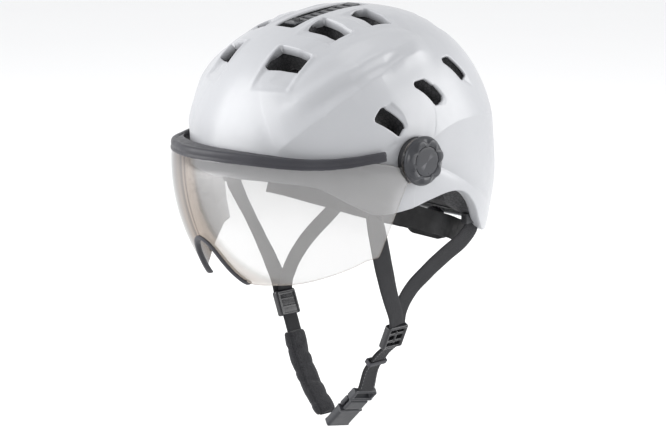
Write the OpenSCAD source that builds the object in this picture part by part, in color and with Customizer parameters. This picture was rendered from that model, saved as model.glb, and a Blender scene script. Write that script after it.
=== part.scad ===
/* [Shell] */
// Half width of the shell at the visor pivots
half_width = 107; // [105:0.5:108]
// Thickness of the moulded outer skin
shell_t = 2; // [1.5:0.1:2.4]
// Gap between the skin and the foam liner
skin_gap = 0.5; // [0.3:0.1:0.8]

/* [Head cavity] */
// Inside length of the foam liner
cavity_l = 206; // [200:1:210]
// Inside width of the foam liner
cavity_w = 160; // [154:1:162]
// Height of the inside of the crown above the visor pivots
cavity_h = 80; // [76:1:84]
// Distance of the head's centre behind the visor pivots
cavity_y = 17; // [14:1:20]

/* [Visor] */
// Radius of the visor's centre line
visor_r = 145.5; // [144:0.5:147]
// Half width of the visor over its ears
visor_half_w = 112; // [111.5:0.5:113]
// Squareness of the visor's plan, where 2 is an ellipse
visor_n = 1.8; // [1.74:0.02:1.86]
// Thickness of the lens
lens_t = 2; // [1.6:0.2:2.4]
// Height of the top seal's face
seal_h = 8; // [7:0.5:9]

/* [Pivot knobs] */
// Diameter of a knob over its lobes
knob_d = 38; // [36:0.5:40]
// Thickness of a knob
knob_t = 6.5; // [5:0.5:8]
// Number of finger scallops round a knob
knob_lobes = 7; // [6:1:9]
// Radius of a stud
stud_r = 2.5; // [2:0.25:3]

/* [Webbing] */
// Width of the strap webbing
web_w = 15; // [13:0.5:17]
// Thickness of the strap webbing
web_t = 1.6; // [1.2:0.1:1.8]

/* [Fit system] */
// Diameter of the fit dial
dial_d = 26; // [22:1:28]
// Pitch radius of the pinion
pinion_r = 4; // [4:0.5:4]
// Number of teeth on the pinion
pinion_teeth = 10; // [10:1:10]
// Height of the dial's axis, measured from the pivots
dial_z = -84; // [-88:1:-82]

/* [Hidden] */
$fn = 64;

// The frame: origin midway between the visor pivots, +X to the wearer's left, -Y forwards, +Z up.
// Side profile of the shell on its centre line: angle round the pivots from the front, and radius.
PROFILE = [
    [-90, 185], [-60, 142], [-30, 116], [-5, 110], [20, 108], [45, 105], [70, 103], [90, 105],
    [110, 114], [135, 130], [160, 140], [180, 145], [200, 156], [225, 168], [270, 185],
];
// How square the shell's cross section is at each of those angles, where 2 is an ellipse.
SQUARENESS = [[-90, 2.4], [-10, 1.9], [70, 2.2], [135, 2.35], [225, 2.5], [270, 2.4]];
// Height of the lower rim against the angle round the head, from the front centre to the back centre.
RIM = [
    [0, -14], [45, -17], [62, -32], [72, -40], [90, -38], [100, -34], [112, -31], [121, -35],
    [128, -47], [135, -65], [142, -75], [180, -80],
];
// Corners of each opening on the left half: angle round the pivots, and angle out to the side.
VENTS = [
    [[53.5, 11.5], [42, 12.5], [46.5, 27.5], [55.5, 27.5]],
    [[80, 11], [69.5, 13.5], [74, 28.5], [81, 28.5]],
    [[101.5, 12], [93.5, 14.5], [98, 28], [103.5, 28]],
    [[56.5, 63.7], [46.5, 64.5], [54, 77.2], [70.5, 75.7]],
    [[106.5, 57.7], [99, 59.6], [125, 65.3], [129, 62.2]],
    [[127.5, 42.7], [124.5, 45.2], [141, 46.8], [142.5, 44.3]],
    [[140, 9], [128, 10], [130, 23], [140, 22]],
    [[162, 10], [151, 10], [152, 25], [162, 25]],
];
CROWN_SLOT = [[109, 4.6], [67, 5], [67, -5], [109, -4.6]];
CROWN_TILT = 9.5;
CROWN_MID = [0, -1.5, 101.5];
SLOT_PITCH = 8.4;
SLOT_COUNT = 7;

PIVOT_POCKET_R = 16.8;
PIVOT_POCKET_X = 102.8;
LENS_IN_X = visor_half_w - lens_t;
BUSH_R = 6;
RUN = 0.06;
EAR_R = 17;
// Centre of the visor's curve in side view, a little behind and below the pivots
VISOR_CENTRE = [0, 12, -10];
// The visor's curve would be this wide; its ears are flat where it is wider than they are
VISOR_SIDE = visor_half_w + 3;
SEAL_REACH = 128;
GROMMET_R = 9;
KNOB_X = visor_half_w + 2.1;

RING_TILT = 17;
RACK_Y = 115;
TOOTH_PITCH = 2 * PI * pinion_r / pinion_teeth;
ADDENDUM = 0.7;
DEDENDUM = 0.95;
BAND_H = 18;
BAND_T = 1.6;

FRONT_ANCHOR = [87, -24, -34];
REAR_ANCHOR = [79, 88, -60];
DIVIDER = [67.5, 15, -150];
DIVIDER_TILT = 24;
BUCKLE = [15.5, 15, -221.5];
BUCKLE_TILT = -45;
BUCKLE_ROLL = 12;

SKIN_COLOR = [0.88, 0.89, 0.9];
FOAM_COLOR = [0.13, 0.13, 0.14];
DARK_COLOR = [0.16, 0.16, 0.17];
WEB_COLOR = [0.22, 0.22, 0.23];
METAL_COLOR = [0.7, 0.7, 0.72];

// ---- Curves through a table of [position, value] pairs ----
function place(table, at, i = 0) =
    (i >= len(table) - 2 || at < table[i + 1][0]) ? i : place(table, at, i + 1);
function slope(table, i) =
    let (a = max(i - 1, 0), b = min(i + 1, len(table) - 1))
    (table[b][1] - table[a][1]) / (table[b][0] - table[a][0]);
function curve(table, at) =
    let (i = place(table, at), h = table[i + 1][0] - table[i][0], u = (at - table[i][0]) / h)
    table[i][1] * (2 * u * u * u - 3 * u * u + 1)
    + slope(table, i) * h * (u * u * u - 2 * u * u + u)
    + table[i + 1][1] * (3 * u * u - 2 * u * u * u)
    + slope(table, i + 1) * h * (u * u * u - u * u);

// ---- Directions from the pivot centre, and the two main surfaces along them ----
function heading(azimuth, elevation) =
    [sin(azimuth) * cos(elevation), -cos(azimuth) * cos(elevation), sin(elevation)];
function swing(phi, out) = [sin(out), -cos(out) * cos(phi), cos(out) * sin(phi)];
function phi_of(d) = let (a = atan2(d.z, -d.y)) a < -90 ? a + 360 : a;
function shell_r(d) =
    let (phi = phi_of(d), n = curve(SQUARENESS, phi))
    pow(pow(abs(d.x) / half_width, n) + pow(norm([d.y, d.z]) / curve(PROFILE, phi), n), -1 / n);
function cavity_r(d) =
    let (
        h = d.z > 0 ? cavity_h : 300,
        a = pow(2 * d.x / cavity_w, 2) + pow(2 * d.y / cavity_l, 2) + pow(d.z / h, 2),
        b = -2 * d.y * cavity_y * 4 / (cavity_l * cavity_l),
        c = pow(2 * cavity_y / cavity_l, 2) - 1
    )
    (-b + sqrt(b * b - 4 * a * c)) / (2 * a);
function rim_z(azimuth) = curve(RIM, azimuth > 180 ? 360 - azimuth : azimuth);
function rim_elevation(azimuth, lift, guess = 0, left = 6) =
    left == 0 ? guess
    : rim_elevation(
        azimuth, lift,
        asin((rim_z(azimuth) + lift) / shell_r(heading(azimuth, guess))), left - 1
    );

// A dome between two radii: rings run from the rim to the crown, outside first and then inside.
module dome(columns, rows, lift, outer_in, inner_skin) {
    az = [for (i = [0:columns - 1]) i * 360 / columns];
    rim = [for (a = az) rim_elevation(a, lift)];
    function at(i, j) = heading(az[i], rim[i] + (90 - rim[i]) * j / rows);
    function inner(d) = inner_skin > 0 ? shell_r(d) - inner_skin : cavity_r(d);
    outside = [for (j = [0:rows - 1], i = [0:columns - 1]) let (d = at(i, j)) d * (shell_r(d) - outer_in)];
    inside = [for (j = [0:rows - 1], i = [0:columns - 1]) let (d = at(i, j)) d * inner(d)];
    up = [0, 0, 1];
    count = rows * columns;
    points = concat(outside, inside, [up * (shell_r(up) - outer_in), up * inner(up)]);
    function next(i) = (i + 1) % columns;
    faces = concat(
        [for (j = [0:rows - 2], i = [0:columns - 1])
            each [
                [j * columns + i, (j + 1) * columns + i, (j + 1) * columns + next(i)],
                [j * columns + i, (j + 1) * columns + next(i), j * columns + next(i)],
            ]],
        [for (j = [0:rows - 2], i = [0:columns - 1])
            each [
                [count + j * columns + i, count + (j + 1) * columns + next(i),
                    count + (j + 1) * columns + i],
                [count + j * columns + i, count + j * columns + next(i),
                    count + (j + 1) * columns + next(i)],
            ]],
        [for (i = [0:columns - 1]) [(rows - 1) * columns + i, 2 * count, (rows - 1) * columns + next(i)]],
        [for (i = [0:columns - 1])
            [count + (rows - 1) * columns + i, count + (rows - 1) * columns + next(i), 2 * count + 1]],
        [for (i = [0:columns - 1])
            each [[i, next(i), count + next(i)], [i, count + next(i), count + i]]]
    );
    polyhedron(points, faces, convexity = 10);
}

// One opening cut along the rays through its corners, from inside the cavity to outside the shell.
module opening(corners, facets) {
    hull() for (c = corners, far = [0.55, 1.12])
        let (d = swing(c[0], c[1]))
        translate(d * shell_r(d) * far) sphere(r = 1.6, $fn = facets);
}

module openings(facets) {
    for (side = [0, 1], v = VENTS) mirror([side, 0, 0]) opening(v, facets);
    opening(CROWN_SLOT, facets);
}

module both_sides() {
    children();
    mirror([1, 0, 0]) children();
}

module across_x(x0, x1, r) {
    translate([x0, 0, 0]) rotate([0, 90, 0]) cylinder(h = x1 - x0, r = r);
}

module outer_shell() {
    color(SKIN_COLOR) difference() {
        dome(96, 18, 0, 0, shell_t);
        openings(8);
        both_sides() across_x(PIVOT_POCKET_X, 130, PIVOT_POCKET_R);
    }
}

// The foam is two mouldings that meet in a plane across the head
FOAM_SPLIT_Y = 12;

module foam() {
    color(FOAM_COLOR) difference() {
        dome(60, 12, 2, shell_t + skin_gap, 0);
        openings(4);
        both_sides() {
            across_x(PIVOT_POCKET_X, 130, PIVOT_POCKET_R);
            across_x(60, 130, 4.9);
            across_x(60, 93.4, 7.4);
            translate(FRONT_ANCHOR) cube([5.8, 19.8, 16], center = true);
            translate(REAR_ANCHOR - [0, 0, 6]) cube([6.8, 16.8, 20.8], center = true);
        }
        // Room for the nape bands and their housing under the back of the foam
        translate([0, cavity_y, -120]) scale([0.8, 1, 1]) cylinder(h = 62, r = 112);
        translate([-30, 60, -120]) cube([60, 72, 54]);
        // Seat of the crown vent frame
        crown_plate(0.4, -1.6, 3.2);
    }
}
module eps_front() {
    intersection() {
        foam();
        translate([-150, FOAM_SPLIT_Y - 0.15 - 300, -150]) cube([300, 300, 300]);
    }
}
module eps_back() {
    intersection() {
        foam();
        translate([-150, FOAM_SPLIT_Y + 0.15, -150]) cube([300, 300, 300]);
    }
}

// ---- Crown vent ----
// A plate in the crown slot's tilted plane: grow widens it, z0 and z1 are its lower and upper faces.
module crown_plate(grow, z0, z1) {
    translate(CROWN_MID) rotate([CROWN_TILT, 0, 0])
        translate([-7.2 - grow, -34 - grow, z0]) cube([14.4 + 2 * grow, 68 + 2 * grow, z1 - z0]);
}

module crown_slots(length, width, z0, z1, count, shift = 0) {
    translate(CROWN_MID) rotate([CROWN_TILT, 0, 0])
        for (k = [0:count - 1])
            translate([-width / 2, (k - (count - 1) / 2) * SLOT_PITCH - length / 2 + shift, z0])
                cube([width, length, z1 - z0]);
}

module vent_frame() {
    color(DARK_COLOR) difference() {
        crown_plate(0, -1.2, 1.6);
        crown_slots(4, 10.6, -2, 2, SLOT_COUNT);
        // Longer slot in front for the thumb tab, and the channel that the shutter slides in
        translate(CROWN_MID) rotate([CROWN_TILT, 0, 0])
            translate([-3.4, -3 * SLOT_PITCH - 2, -2]) cube([6.8, 7, 4]);
        translate(CROWN_MID) rotate([CROWN_TILT, 0, 0]) translate([-6.2, -33, -2]) cube([12.4, 66, 2]);
    }
}

module vent_slider() {
    color([0.3, 0.3, 0.31]) difference() {
        union() {
            translate(CROWN_MID) rotate([CROWN_TILT, 0, 0])
                translate([-5.8, -32.5, -1.1]) cube([11.6, 60.5, 0.8]);
            // Thumb tab standing in the front slot of the frame
            translate(CROWN_MID) rotate([CROWN_TILT, 0, 0])
                translate([-3, -3 * SLOT_PITCH - 1.7, -0.4]) cube([6, 1.2, 3.4]);
        }
        crown_slots(3.2, 9.6, -2, 0, SLOT_COUNT - 1, SLOT_PITCH / 2);
    }
}

// ---- Visor ----
// Turns a profile about the visor's own centre between two angles, measured upwards from straight ahead.
module turned(from, to) {
    translate(VISOR_CENTRE) rotate([0, 90, 0]) rotate([0, 0, -90 - to]) rotate_extrude(angle = to - from) children();
}

// The plan curve of the visor, from one ear to the other: radius from the axis, and side.
function plan_curve(half_w, reach, n, steps = 36) = [
    for (k = [-steps:steps])
        let (t = 86 * k / steps)
        [reach * pow(cos(t), 2 / n), half_w * sign(t) * pow(abs(sin(t)), 2 / n)]
];
function reversed(list) = [for (i = [len(list) - 1:-1:0]) list[i]];

module plan_band(outer_w, outer_r, outer_n, inner_w, inner_r, inner_n) {
    polygon(concat(
        plan_curve(outer_w, outer_r, outer_n),
        reversed(plan_curve(inner_w, inner_r, inner_n))
    ));
}

// Upper edge of the top seal seen from the front, from the centre out to its left end.
SEAL_EDGE = [
    [0, 10.5], [20, 10.4], [38, 9.8], [54, 8.6], [68, 7], [80, 5.9], [90, 5.8], [98, 6.9], [104, 8.8],
    [112, 11.5],
];
LENS_UNDER_SEAL = 6.4;

// The area below the seal's upper edge, lowered by drop, seen from the front and drawn out to the back.
module under_seal_edge(drop, depth = 161) {
    translate([0, -29.5, 0]) rotate([90, 0, 0]) linear_extrude(height = depth - 29.5) polygon(concat(
        [for (p = SEAL_EDGE) [p.x, p.y - drop]], [[112, -30], [-112, -30]],
        [for (p = reversed(SEAL_EDGE)) if (p.x > 0) [-p.x, p.y - drop]]
    ));
}

// Lower edge of the lens seen from the front, from the nose notch out to the left cheek.
LENS_EDGE = [
    [0, -61], [4.5, -62.3], [9.5, -66.2], [13, -73], [15.8, -80.5], [19, -88.5], [23, -95.2], [29, -98],
    [36, -98], [44, -97.2], [56, -96.3], [66.5, -93], [76, -88.5], [84.5, -83.3], [91, -77.6],
];

module lens_front() {
    linear_extrude(height = 200) polygon(concat(
        [for (p = LENS_EDGE) p], [[125, -60], [125, 60], [-125, 60], [-125, -60]],
        [for (p = reversed(LENS_EDGE)) if (p.x > 0) [-p.x, p.y]]
    ));
}

module lens_side() {
    rotate([90, 0, 90]) linear_extrude(height = 300, center = true) {
        polygon([
            [-160, 30], [0, 30], [0, -EAR_R], [-12.5, -EAR_R], [-17, -29], [-21, -46],
            [-23.5, -61], [-24.8, -78], [-24.5, -120], [-160, -120],
        ]);
        circle(r = EAR_R);
    }
}

module visor_lens() {
    color([0.62, 0.6, 0.58, 0.5]) difference() {
        union() {
            intersection() {
                turned(-84, 20) plan_band(
                    VISOR_SIDE, visor_r, visor_n, VISOR_SIDE - lens_t, visor_r - lens_t, visor_n
                );
                across_x(-visor_half_w, visor_half_w, 200);
                rotate([90, 0, 0]) lens_front();
                lens_side();
                union() {
                    under_seal_edge(LENS_UNDER_SEAL);
                    translate([-150, -30, -30]) cube([300, 60, 33]);
                }
            }
            both_sides() across_x(LENS_IN_X, visor_half_w, EAR_R);
        }
        both_sides() {
            across_x(100, 130, GROMMET_R + RUN);
            across_x(95, LENS_IN_X, EAR_R + 0.4);
        }
    }
}

// A rubber lip: a face over the lens's top edge and a shelf that reaches in towards the shell.
module visor_seal() {
    color(DARK_COLOR) difference() {
        intersection() {
            turned(0, 40) plan_band(
                VISOR_SIDE + 0.7, visor_r + 0.7, visor_n, visor_half_w, SEAL_REACH, 2
            );
            under_seal_edge(0);
        }
        // Slot that grips the lens
        intersection() {
            turned(-10, 50) plan_band(
                VISOR_SIDE + RUN, visor_r + RUN, visor_n,
                VISOR_SIDE - lens_t - RUN, visor_r - lens_t - RUN, visor_n
            );
            under_seal_edge(LENS_UNDER_SEAL - RUN);
        }
        // Underside of the face, and of the shelf behind it
        under_seal_edge(seal_h);
        difference() {
            under_seal_edge(2.6);
            turned(-10, 50) plan_band(
                VISOR_SIDE + 4, visor_r + 4, visor_n, VISOR_SIDE - 3.2, visor_r - 3.4, visor_n
            );
        }
    }
}

// Edging round the nose notch: a strip of the visor's curve between two offsets of its lower edge.
module nose_trim() {
    trim_x = 27;
    color(DARK_COLOR) difference() {
        intersection() {
            turned(-60, 10) plan_band(
                VISOR_SIDE + 1.6, visor_r + 1.6, visor_n,
                VISOR_SIDE - 3.6, visor_r - 3.6, visor_n
            );
            rotate([90, 0, 0]) linear_extrude(height = 200) difference() {
                notch(2.4);
                notch(-2.2);
                translate([-60, -170]) square([120, 72.6]);
            }
            translate([-trim_x, -150, -130]) cube([2 * trim_x, 100, 100]);
        }
        intersection() {
            turned(-84, 20) plan_band(
                VISOR_SIDE + RUN, visor_r + RUN, visor_n,
                VISOR_SIDE - lens_t - RUN, visor_r - lens_t - RUN, visor_n
            );
            rotate([90, 0, 0]) linear_extrude(height = 200) difference() {
                translate([-60, -160]) square([120, 160]);
                notch(-RUN);
            }
        }
    }
}

// The open notch below the nose bridge, grown outwards by an offset.
module notch(grow) {
    offset(delta = grow) polygon(concat(
        [for (p = LENS_EDGE) if (p.x < 24) p], [[23, -140], [-23, -140]],
        [for (p = reversed(LENS_EDGE)) if (p.x > 0 && p.x < 24) [-p.x, p.y]]
    ));
}

module grommet() {
    color(DARK_COLOR) difference() {
        union() {
            across_x(LENS_IN_X + 0.1, visor_half_w + 0.8, GROMMET_R);
            across_x(visor_half_w + RUN, visor_half_w + 0.8, 12);
        }
        across_x(100, 130, BUSH_R + RUN);
    }
}
module grommet_left() { grommet(); }
module grommet_right() { mirror([1, 0, 0]) grommet(); }

module visor_bush() {
    color(DARK_COLOR) difference() {
        union() {
            across_x(PIVOT_POCKET_X + 0.1, LENS_IN_X - 0.4, PIVOT_POCKET_R - 0.3);
            across_x(LENS_IN_X - 1, visor_half_w + 0.9, BUSH_R);
        }
        across_x(90, 130, stud_r + RUN);
    }
}
module visor_bush_left() { visor_bush(); }
module visor_bush_right() { mirror([1, 0, 0]) visor_bush(); }

module spring_washer() {
    color(METAL_COLOR) difference() {
        across_x(visor_half_w + 1.15, visor_half_w + 1.75, 11);
        across_x(100, 130, stud_r + 0.4);
    }
}
module spring_washer_left() { spring_washer(); }
module spring_washer_right() { mirror([1, 0, 0]) spring_washer(); }

module insert_nut() {
    color(METAL_COLOR) difference() {
        union() {
            across_x(82, 84, 7);
            across_x(83.5, 93, 4.5);
        }
        across_x(70, 120, stud_r + RUN);
    }
}
module insert_nut_left() { insert_nut(); }
module insert_nut_right() { mirror([1, 0, 0]) insert_nut(); }

module stud() {
    color(METAL_COLOR) union() {
        across_x(83, KNOB_X + 3, stud_r);
        across_x(KNOB_X + 2, KNOB_X + 4, stud_r + 2.5);
    }
}
module stud_left() { stud(); }
module stud_right() { mirror([1, 0, 0]) stud(); }

module knob() {
    r = knob_d / 2;
    color(DARK_COLOR) difference() {
        union() {
            across_x(KNOB_X, KNOB_X + knob_t - 1.2, r);
            across_x(KNOB_X, KNOB_X + knob_t, r - 1.2);
        }
        for (k = [0:knob_lobes - 1])
            rotate([k * 360 / knob_lobes, 0, 0]) translate([0, 0, r + 7.4])
                across_x(KNOB_X + 1.8, KNOB_X + knob_t + 1, 9.4);
        across_x(KNOB_X + knob_t - 1.4, KNOB_X + knob_t + 1, 11.5 + RUN);
        across_x(KNOB_X - 1, KNOB_X + knob_t, stud_r + RUN);
        across_x(KNOB_X + 2 - RUN, KNOB_X + knob_t, stud_r + 2.5 + RUN);
    }
}
module knob_left() { knob(); }
module knob_right() { mirror([1, 0, 0]) knob(); }

module knob_cap() {
    face = KNOB_X + knob_t - 1.3;
    color([0.22, 0.22, 0.23]) difference() {
        across_x(face, face + 1.4, 11.5);
        // A ring groove, the cap's only ornament
        difference() {
            across_x(face + 1, face + 2, 8.6);
            across_x(face, face + 3, 7.8);
        }
    }
}
module knob_cap_left() { knob_cap(); }
module knob_cap_right() { mirror([1, 0, 0]) knob_cap(); }

// ---- Head ring and pads ----
// An arc band round the head, lying in a plane that dips towards the back.
module ring_sector(outer, thick, from, to, h, lift) {
    rotate([-RING_TILT, 0, 0]) translate([0, cavity_y - 4, lift])
        linear_extrude(height = h) difference() {
            polygon([
                for (a = [from:4:to]) [outer.x * sin(a), -outer.y * cos(a)],
                for (a = [to:-4:from]) [(outer.x - thick) * sin(a), -(outer.y - thick) * cos(a)],
            ]);
        }
}

module head_ring() { color(DARK_COLOR) ring_sector([75, 88], 1.8, -92, 92, 14, -38); }
module brow_pad() { color(FOAM_COLOR) ring_sector([72.8, 85.8], 6, -44, 44, 20, -41); }

// A pad on the inside of the liner, between two angles each way, t thick.
module cavity_pad(phi0, phi1, out0, out1, t) {
    rows = 8;
    columns = 4;
    function spot(i, j, deep) =
        let (d = swing(phi0 + (phi1 - phi0) * i / rows, out0 + (out1 - out0) * j / columns))
        d * (cavity_r(d) - (deep ? t : 0.9));
    per = (rows + 1) * (columns + 1);
    points = [for (deep = [0, 1], i = [0:rows], j = [0:columns]) spot(i, j, deep == 1)];
    function id(deep, i, j) = deep * per + i * (columns + 1) + j;
    edge = concat(
        [for (i = [0:rows - 1]) [i, 0]], [for (j = [0:columns - 1]) [rows, j]],
        [for (i = [rows:-1:1]) [i, columns]], [for (j = [columns:-1:1]) [0, j]]
    );
    faces = concat(
        [for (i = [0:rows - 1], j = [0:columns - 1]) each [
            [id(0, i, j), id(0, i, j + 1), id(0, i + 1, j + 1)],
            [id(0, i, j), id(0, i + 1, j + 1), id(0, i + 1, j)],
            [id(1, i, j), id(1, i + 1, j + 1), id(1, i, j + 1)],
            [id(1, i, j), id(1, i + 1, j), id(1, i + 1, j + 1)],
        ]],
        [for (k = [0:len(edge) - 1])
            let (a = edge[k], b = edge[(k + 1) % len(edge)])
            each [
                [id(0, a[0], a[1]), id(0, b[0], b[1]), id(1, b[0], b[1])],
                [id(0, a[0], a[1]), id(1, b[0], b[1]), id(1, a[0], a[1])],
            ]]
    );
    color(FOAM_COLOR) polyhedron(points, faces, convexity = 4);
}
module crown_pad_left() { cavity_pad(56, 132, 3, 10, 6.5); }
module crown_pad_right() { mirror([1, 0, 0]) crown_pad_left(); }
module side_pad_left() { cavity_pad(100, 158, 47, 60, 6); }
module side_pad_right() { mirror([1, 0, 0]) side_pad_left(); }

// ---- Straps: a flat ribbon through points, with the direction of its width at each of them ----
function ease(a, b, c, d, u) =
    0.5 * (2 * b + (c - a) * u + (2 * a - 5 * b + 4 * c - d) * u * u
        + (3 * b - a - 3 * c + d) * u * u * u);
function resample(list, steps) = concat(
    [for (i = [0:len(list) - 2], s = [0:steps - 1])
        ease(list[max(i - 1, 0)], list[i], list[i + 1], list[min(i + 2, len(list) - 1)], s / steps)],
    [list[len(list) - 1]]
);
function unit(v) = v / norm(v);

module ribbon(path, widths, w, t, steps = 4) {
    p = resample(path, steps);
    across = resample(widths, steps);
    last = len(p) - 1;
    points = [for (i = [0:last])
        let (
            run = unit(p[min(i + 1, last)] - p[max(i - 1, 0)]),
            side = unit(across[i] - run * (across[i] * run)),
            out = cross(run, side)
        )
        each [
            p[i] + side * w / 2 + out * t / 2, p[i] - side * w / 2 + out * t / 2,
            p[i] - side * w / 2 - out * t / 2, p[i] + side * w / 2 - out * t / 2,
        ]];
    faces = concat(
        [[0, 1, 2], [0, 2, 3], [4 * last + 2, 4 * last + 1, 4 * last], [4 * last + 3, 4 * last + 2, 4 * last]],
        [for (i = [0:last - 1], k = [0:3])
            let (a = 4 * i + k, b = 4 * i + (k + 1) % 4)
            each [[a, a + 4, b + 4], [a, b + 4, b]]]
    );
    polyhedron(points, faces, convexity = 6);
}

FRONT_STRAP = [
    [87, -24, -42.5], [86.8, -23.6, -46], [83, -15, -67], [78, -5, -91], [74.6, 4.5, -114],
    [73.6, 11, -130], [72.9, 13, -140],
];
FRONT_ACROSS = [
    [0, 1, 0], [0.05, 1, 0], [0.3, 0.95, 0.1], [0.3, 0.93, 0.2], [0.1, 0.95, 0.2], [0, 1, 0.1], [0, 1, 0],
];
REAR_STRAP = [
    [79, 88, -66.8], [79, 87.9, -69], [79, 86.8, -72], [79, 77, -80], [77, 59, -90.5], [75, 43, -101],
    [72.5, 28, -114], [71.2, 18.5, -129], [70.9, 16.5, -140],
];
REAR_ACROSS = [
    [0, 1, 0], [0, 1, 0], [0, 1, -0.3], [0, 0.75, -0.65], [0, 0.65, -0.75], [0, 0.7, -0.7],
    [0, 0.8, -0.6], [0, 1, -0.15], [0, 1, 0],
];

module front_strap_left() { color(WEB_COLOR) ribbon(FRONT_STRAP, FRONT_ACROSS, web_w, web_t); }
module front_strap_right() { mirror([1, 0, 0]) front_strap_left(); }
module rear_strap_left() { color(WEB_COLOR) ribbon(REAR_STRAP, REAR_ACROSS, web_w, web_t); }
module rear_strap_right() { mirror([1, 0, 0]) rear_strap_left(); }

// A moulded anchor in the foam, with a window for the insert that keys it
module strap_anchor(at, size) {
    color(DARK_COLOR) translate(at) difference() {
        cube(size, center = true);
        translate([0, 0, 1]) cube([size.x + 1, size.y * 0.5, 2.6], center = true);
    }
}
module strap_anchor_front_left() { strap_anchor(FRONT_ANCHOR + [0, 0, -4], [5.2, 19.2, 8]); }
module strap_anchor_front_right() { mirror([1, 0, 0]) strap_anchor_front_left(); }
module strap_anchor_rear_left() { strap_anchor(REAR_ANCHOR + [0, 0, -2], [6.2, 16.2, 8]); }
module strap_anchor_rear_right() { mirror([1, 0, 0]) strap_anchor_rear_left(); }

// Strap divider: a plate with a mouth above for the two upper straps and one below for the lower strap
module divider() {
    color(DARK_COLOR) translate(DIVIDER) rotate([0, DIVIDER_TILT, 0]) difference() {
        cube([7, 21, 22], center = true);
        translate([0, 0, 9]) cube([5, web_w + 4.4, 12], center = true);
        translate([0, 0, -9]) cube([4.2, web_w + 1, 8], center = true);
        translate([3, 0, 0]) cube([4, 12, 5], center = true);
    }
}
module divider_left() { divider(); }
module divider_right() { mirror([1, 0, 0]) divider(); }

LOWER_STRAP = [[62.8, 15, -159.8], [53, 15, -168.5], [41, 15, -184], [35.6, 15, -199.5]];
LOWER_ACROSS = [[0, 1, 0], [0, 1, 0], [0, 1, -0.1], [0.1, 1, -0.2]];
CHIN_STRAP = [[-63.2, 15, -159.2], [-57.5, 15, -172], [-50, 15, -192], [-36, 15, -213], [-14, 15, -235]];
CHIN_ACROSS = [for (p = CHIN_STRAP) [0, 1, 0]];

module lower_strap_left() { color(WEB_COLOR) ribbon(LOWER_STRAP, LOWER_ACROSS, web_w, 3, 3); }
module lower_strap_right() { color(WEB_COLOR) ribbon(CHIN_STRAP, CHIN_ACROSS, web_w, web_t, 4); }

module chin_pad() {
    path = [for (i = [1:4]) CHIN_STRAP[i]];
    across = [for (p = path) [0, 1, 0]];
    color(FOAM_COLOR) difference() {
        ribbon(path, across, 20, 9, 4);
        ribbon(concat([CHIN_STRAP[0]], path, [[-6, 15, -242]]),
            [for (i = [0:5]) [0, 1, 0]], web_w + 0.8, web_t + 0.8, 4);
    }
}

module at_buckle() {
    translate(BUCKLE) rotate([0, BUCKLE_TILT, 0]) rotate([-BUCKLE_ROLL, 0, 0]) children();
}

module strap_keeper() {
    color(DARK_COLOR) translate([46.8, 15, -175.6]) rotate([0, -52, 0]) difference() {
        cube([5, web_w + 4, 7], center = true);
        cube([6, web_w + 0.8, 3.8], center = true);
    }
}

// ---- Buckle: the base carries the chin pad's strap, the clip carries the left lower strap ----
module buckle_base() {
    color(DARK_COLOR) at_buckle() difference() {
        union() {
            translate([-26, -11, -4.5]) cube([27, 22, 8]);
            translate([1, -9, -4.5]) cube([13, 18, 3.6]);
        }
        // Mouth for the chin strap, pocket for the magnet, recess for the release tab
        translate([-27, -web_w / 2 - 0.4, -1.7]) cube([7, web_w + 0.8, 3]);
        translate([7, 0, -3]) cylinder(h = 4, r = 4 + RUN);
        translate([-16, -6.4, 1.2]) cube([14.8, 12.8, 4]);
    }
}

module buckle_clip() {
    color(DARK_COLOR) at_buckle() difference() {
        union() {
            translate([1.4, -11, -0.5]) cube([12, 22, 4]);
            translate([14.4, -11, -4.5]) cube([12, 22, 8]);
            translate([13, -11, -0.5]) cube([2, 22, 4]);
        }
        translate([20, -web_w / 2 - 0.4, -2.4]) cube([8, web_w + 0.8, 4.2]);
        translate([7, 0, -1]) cylinder(h = 2.6, r = 4 + RUN);
    }
}

module buckle_magnet(z) { color(METAL_COLOR) at_buckle() translate([7, 0, z]) cylinder(h = 1.9, r = 4); }
module buckle_magnet_base() { buckle_magnet(-2.9); }
module buckle_magnet_clip() { buckle_magnet(-0.4); }

module release_tab() {
    color([0.25, 0.25, 0.26]) at_buckle() difference() {
        translate([-12.6, -6, 1.6]) cube([11, 12, 2.3]);
        for (k = [0:2]) translate([-11 + 3 * k, -7, 3.3]) cube([1.2, 14, 2]);
    }
}

// ---- Fit system at the nape ----
module along_y(y0, y1, r) {
    translate([0, y1, dial_z]) rotate([90, 0, 0]) cylinder(h = y1 - y0, r = r);
}

module housing_plate(y0, y1) {
    difference() {
        hull() for (x = [-14, 14]) translate([x, y1, dial_z]) rotate([90, 0, 0])
            cylinder(h = y1 - y0, r = 11, $fn = 32);
        along_y(y0 - 1, y1 + 1, 2 + RUN);
        for (x = [-18, 18]) translate([x, y1 + 1, dial_z]) rotate([90, 0, 0])
            cylinder(h = y1 - y0 + 2, r = 1.1);
    }
}

module housing_front() { color(DARK_COLOR) housing_plate(RACK_Y - 3.2, RACK_Y - 1.2); }
module housing_back() { color(DARK_COLOR) housing_plate(RACK_Y + 1.2, RACK_Y + 3.2); }

module housing_screws() {
    color(METAL_COLOR) for (x = [-18, 18]) translate([x, 0, dial_z]) {
        translate([0, RACK_Y + 3.2, 0]) rotate([90, 0, 0]) cylinder(h = 6.4, r = 1.04);
        translate([0, RACK_Y + 4.3, 0]) rotate([90, 0, 0]) cylinder(h = 1.1, r = 2.2);
    }
}

module fit_dial() {
    color(DARK_COLOR) union() {
        along_y(RACK_Y + 4.7, RACK_Y + 10.5, dial_d / 2 - 2);
        along_y(RACK_Y - 4, RACK_Y + 5, 2);
    }
}

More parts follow.
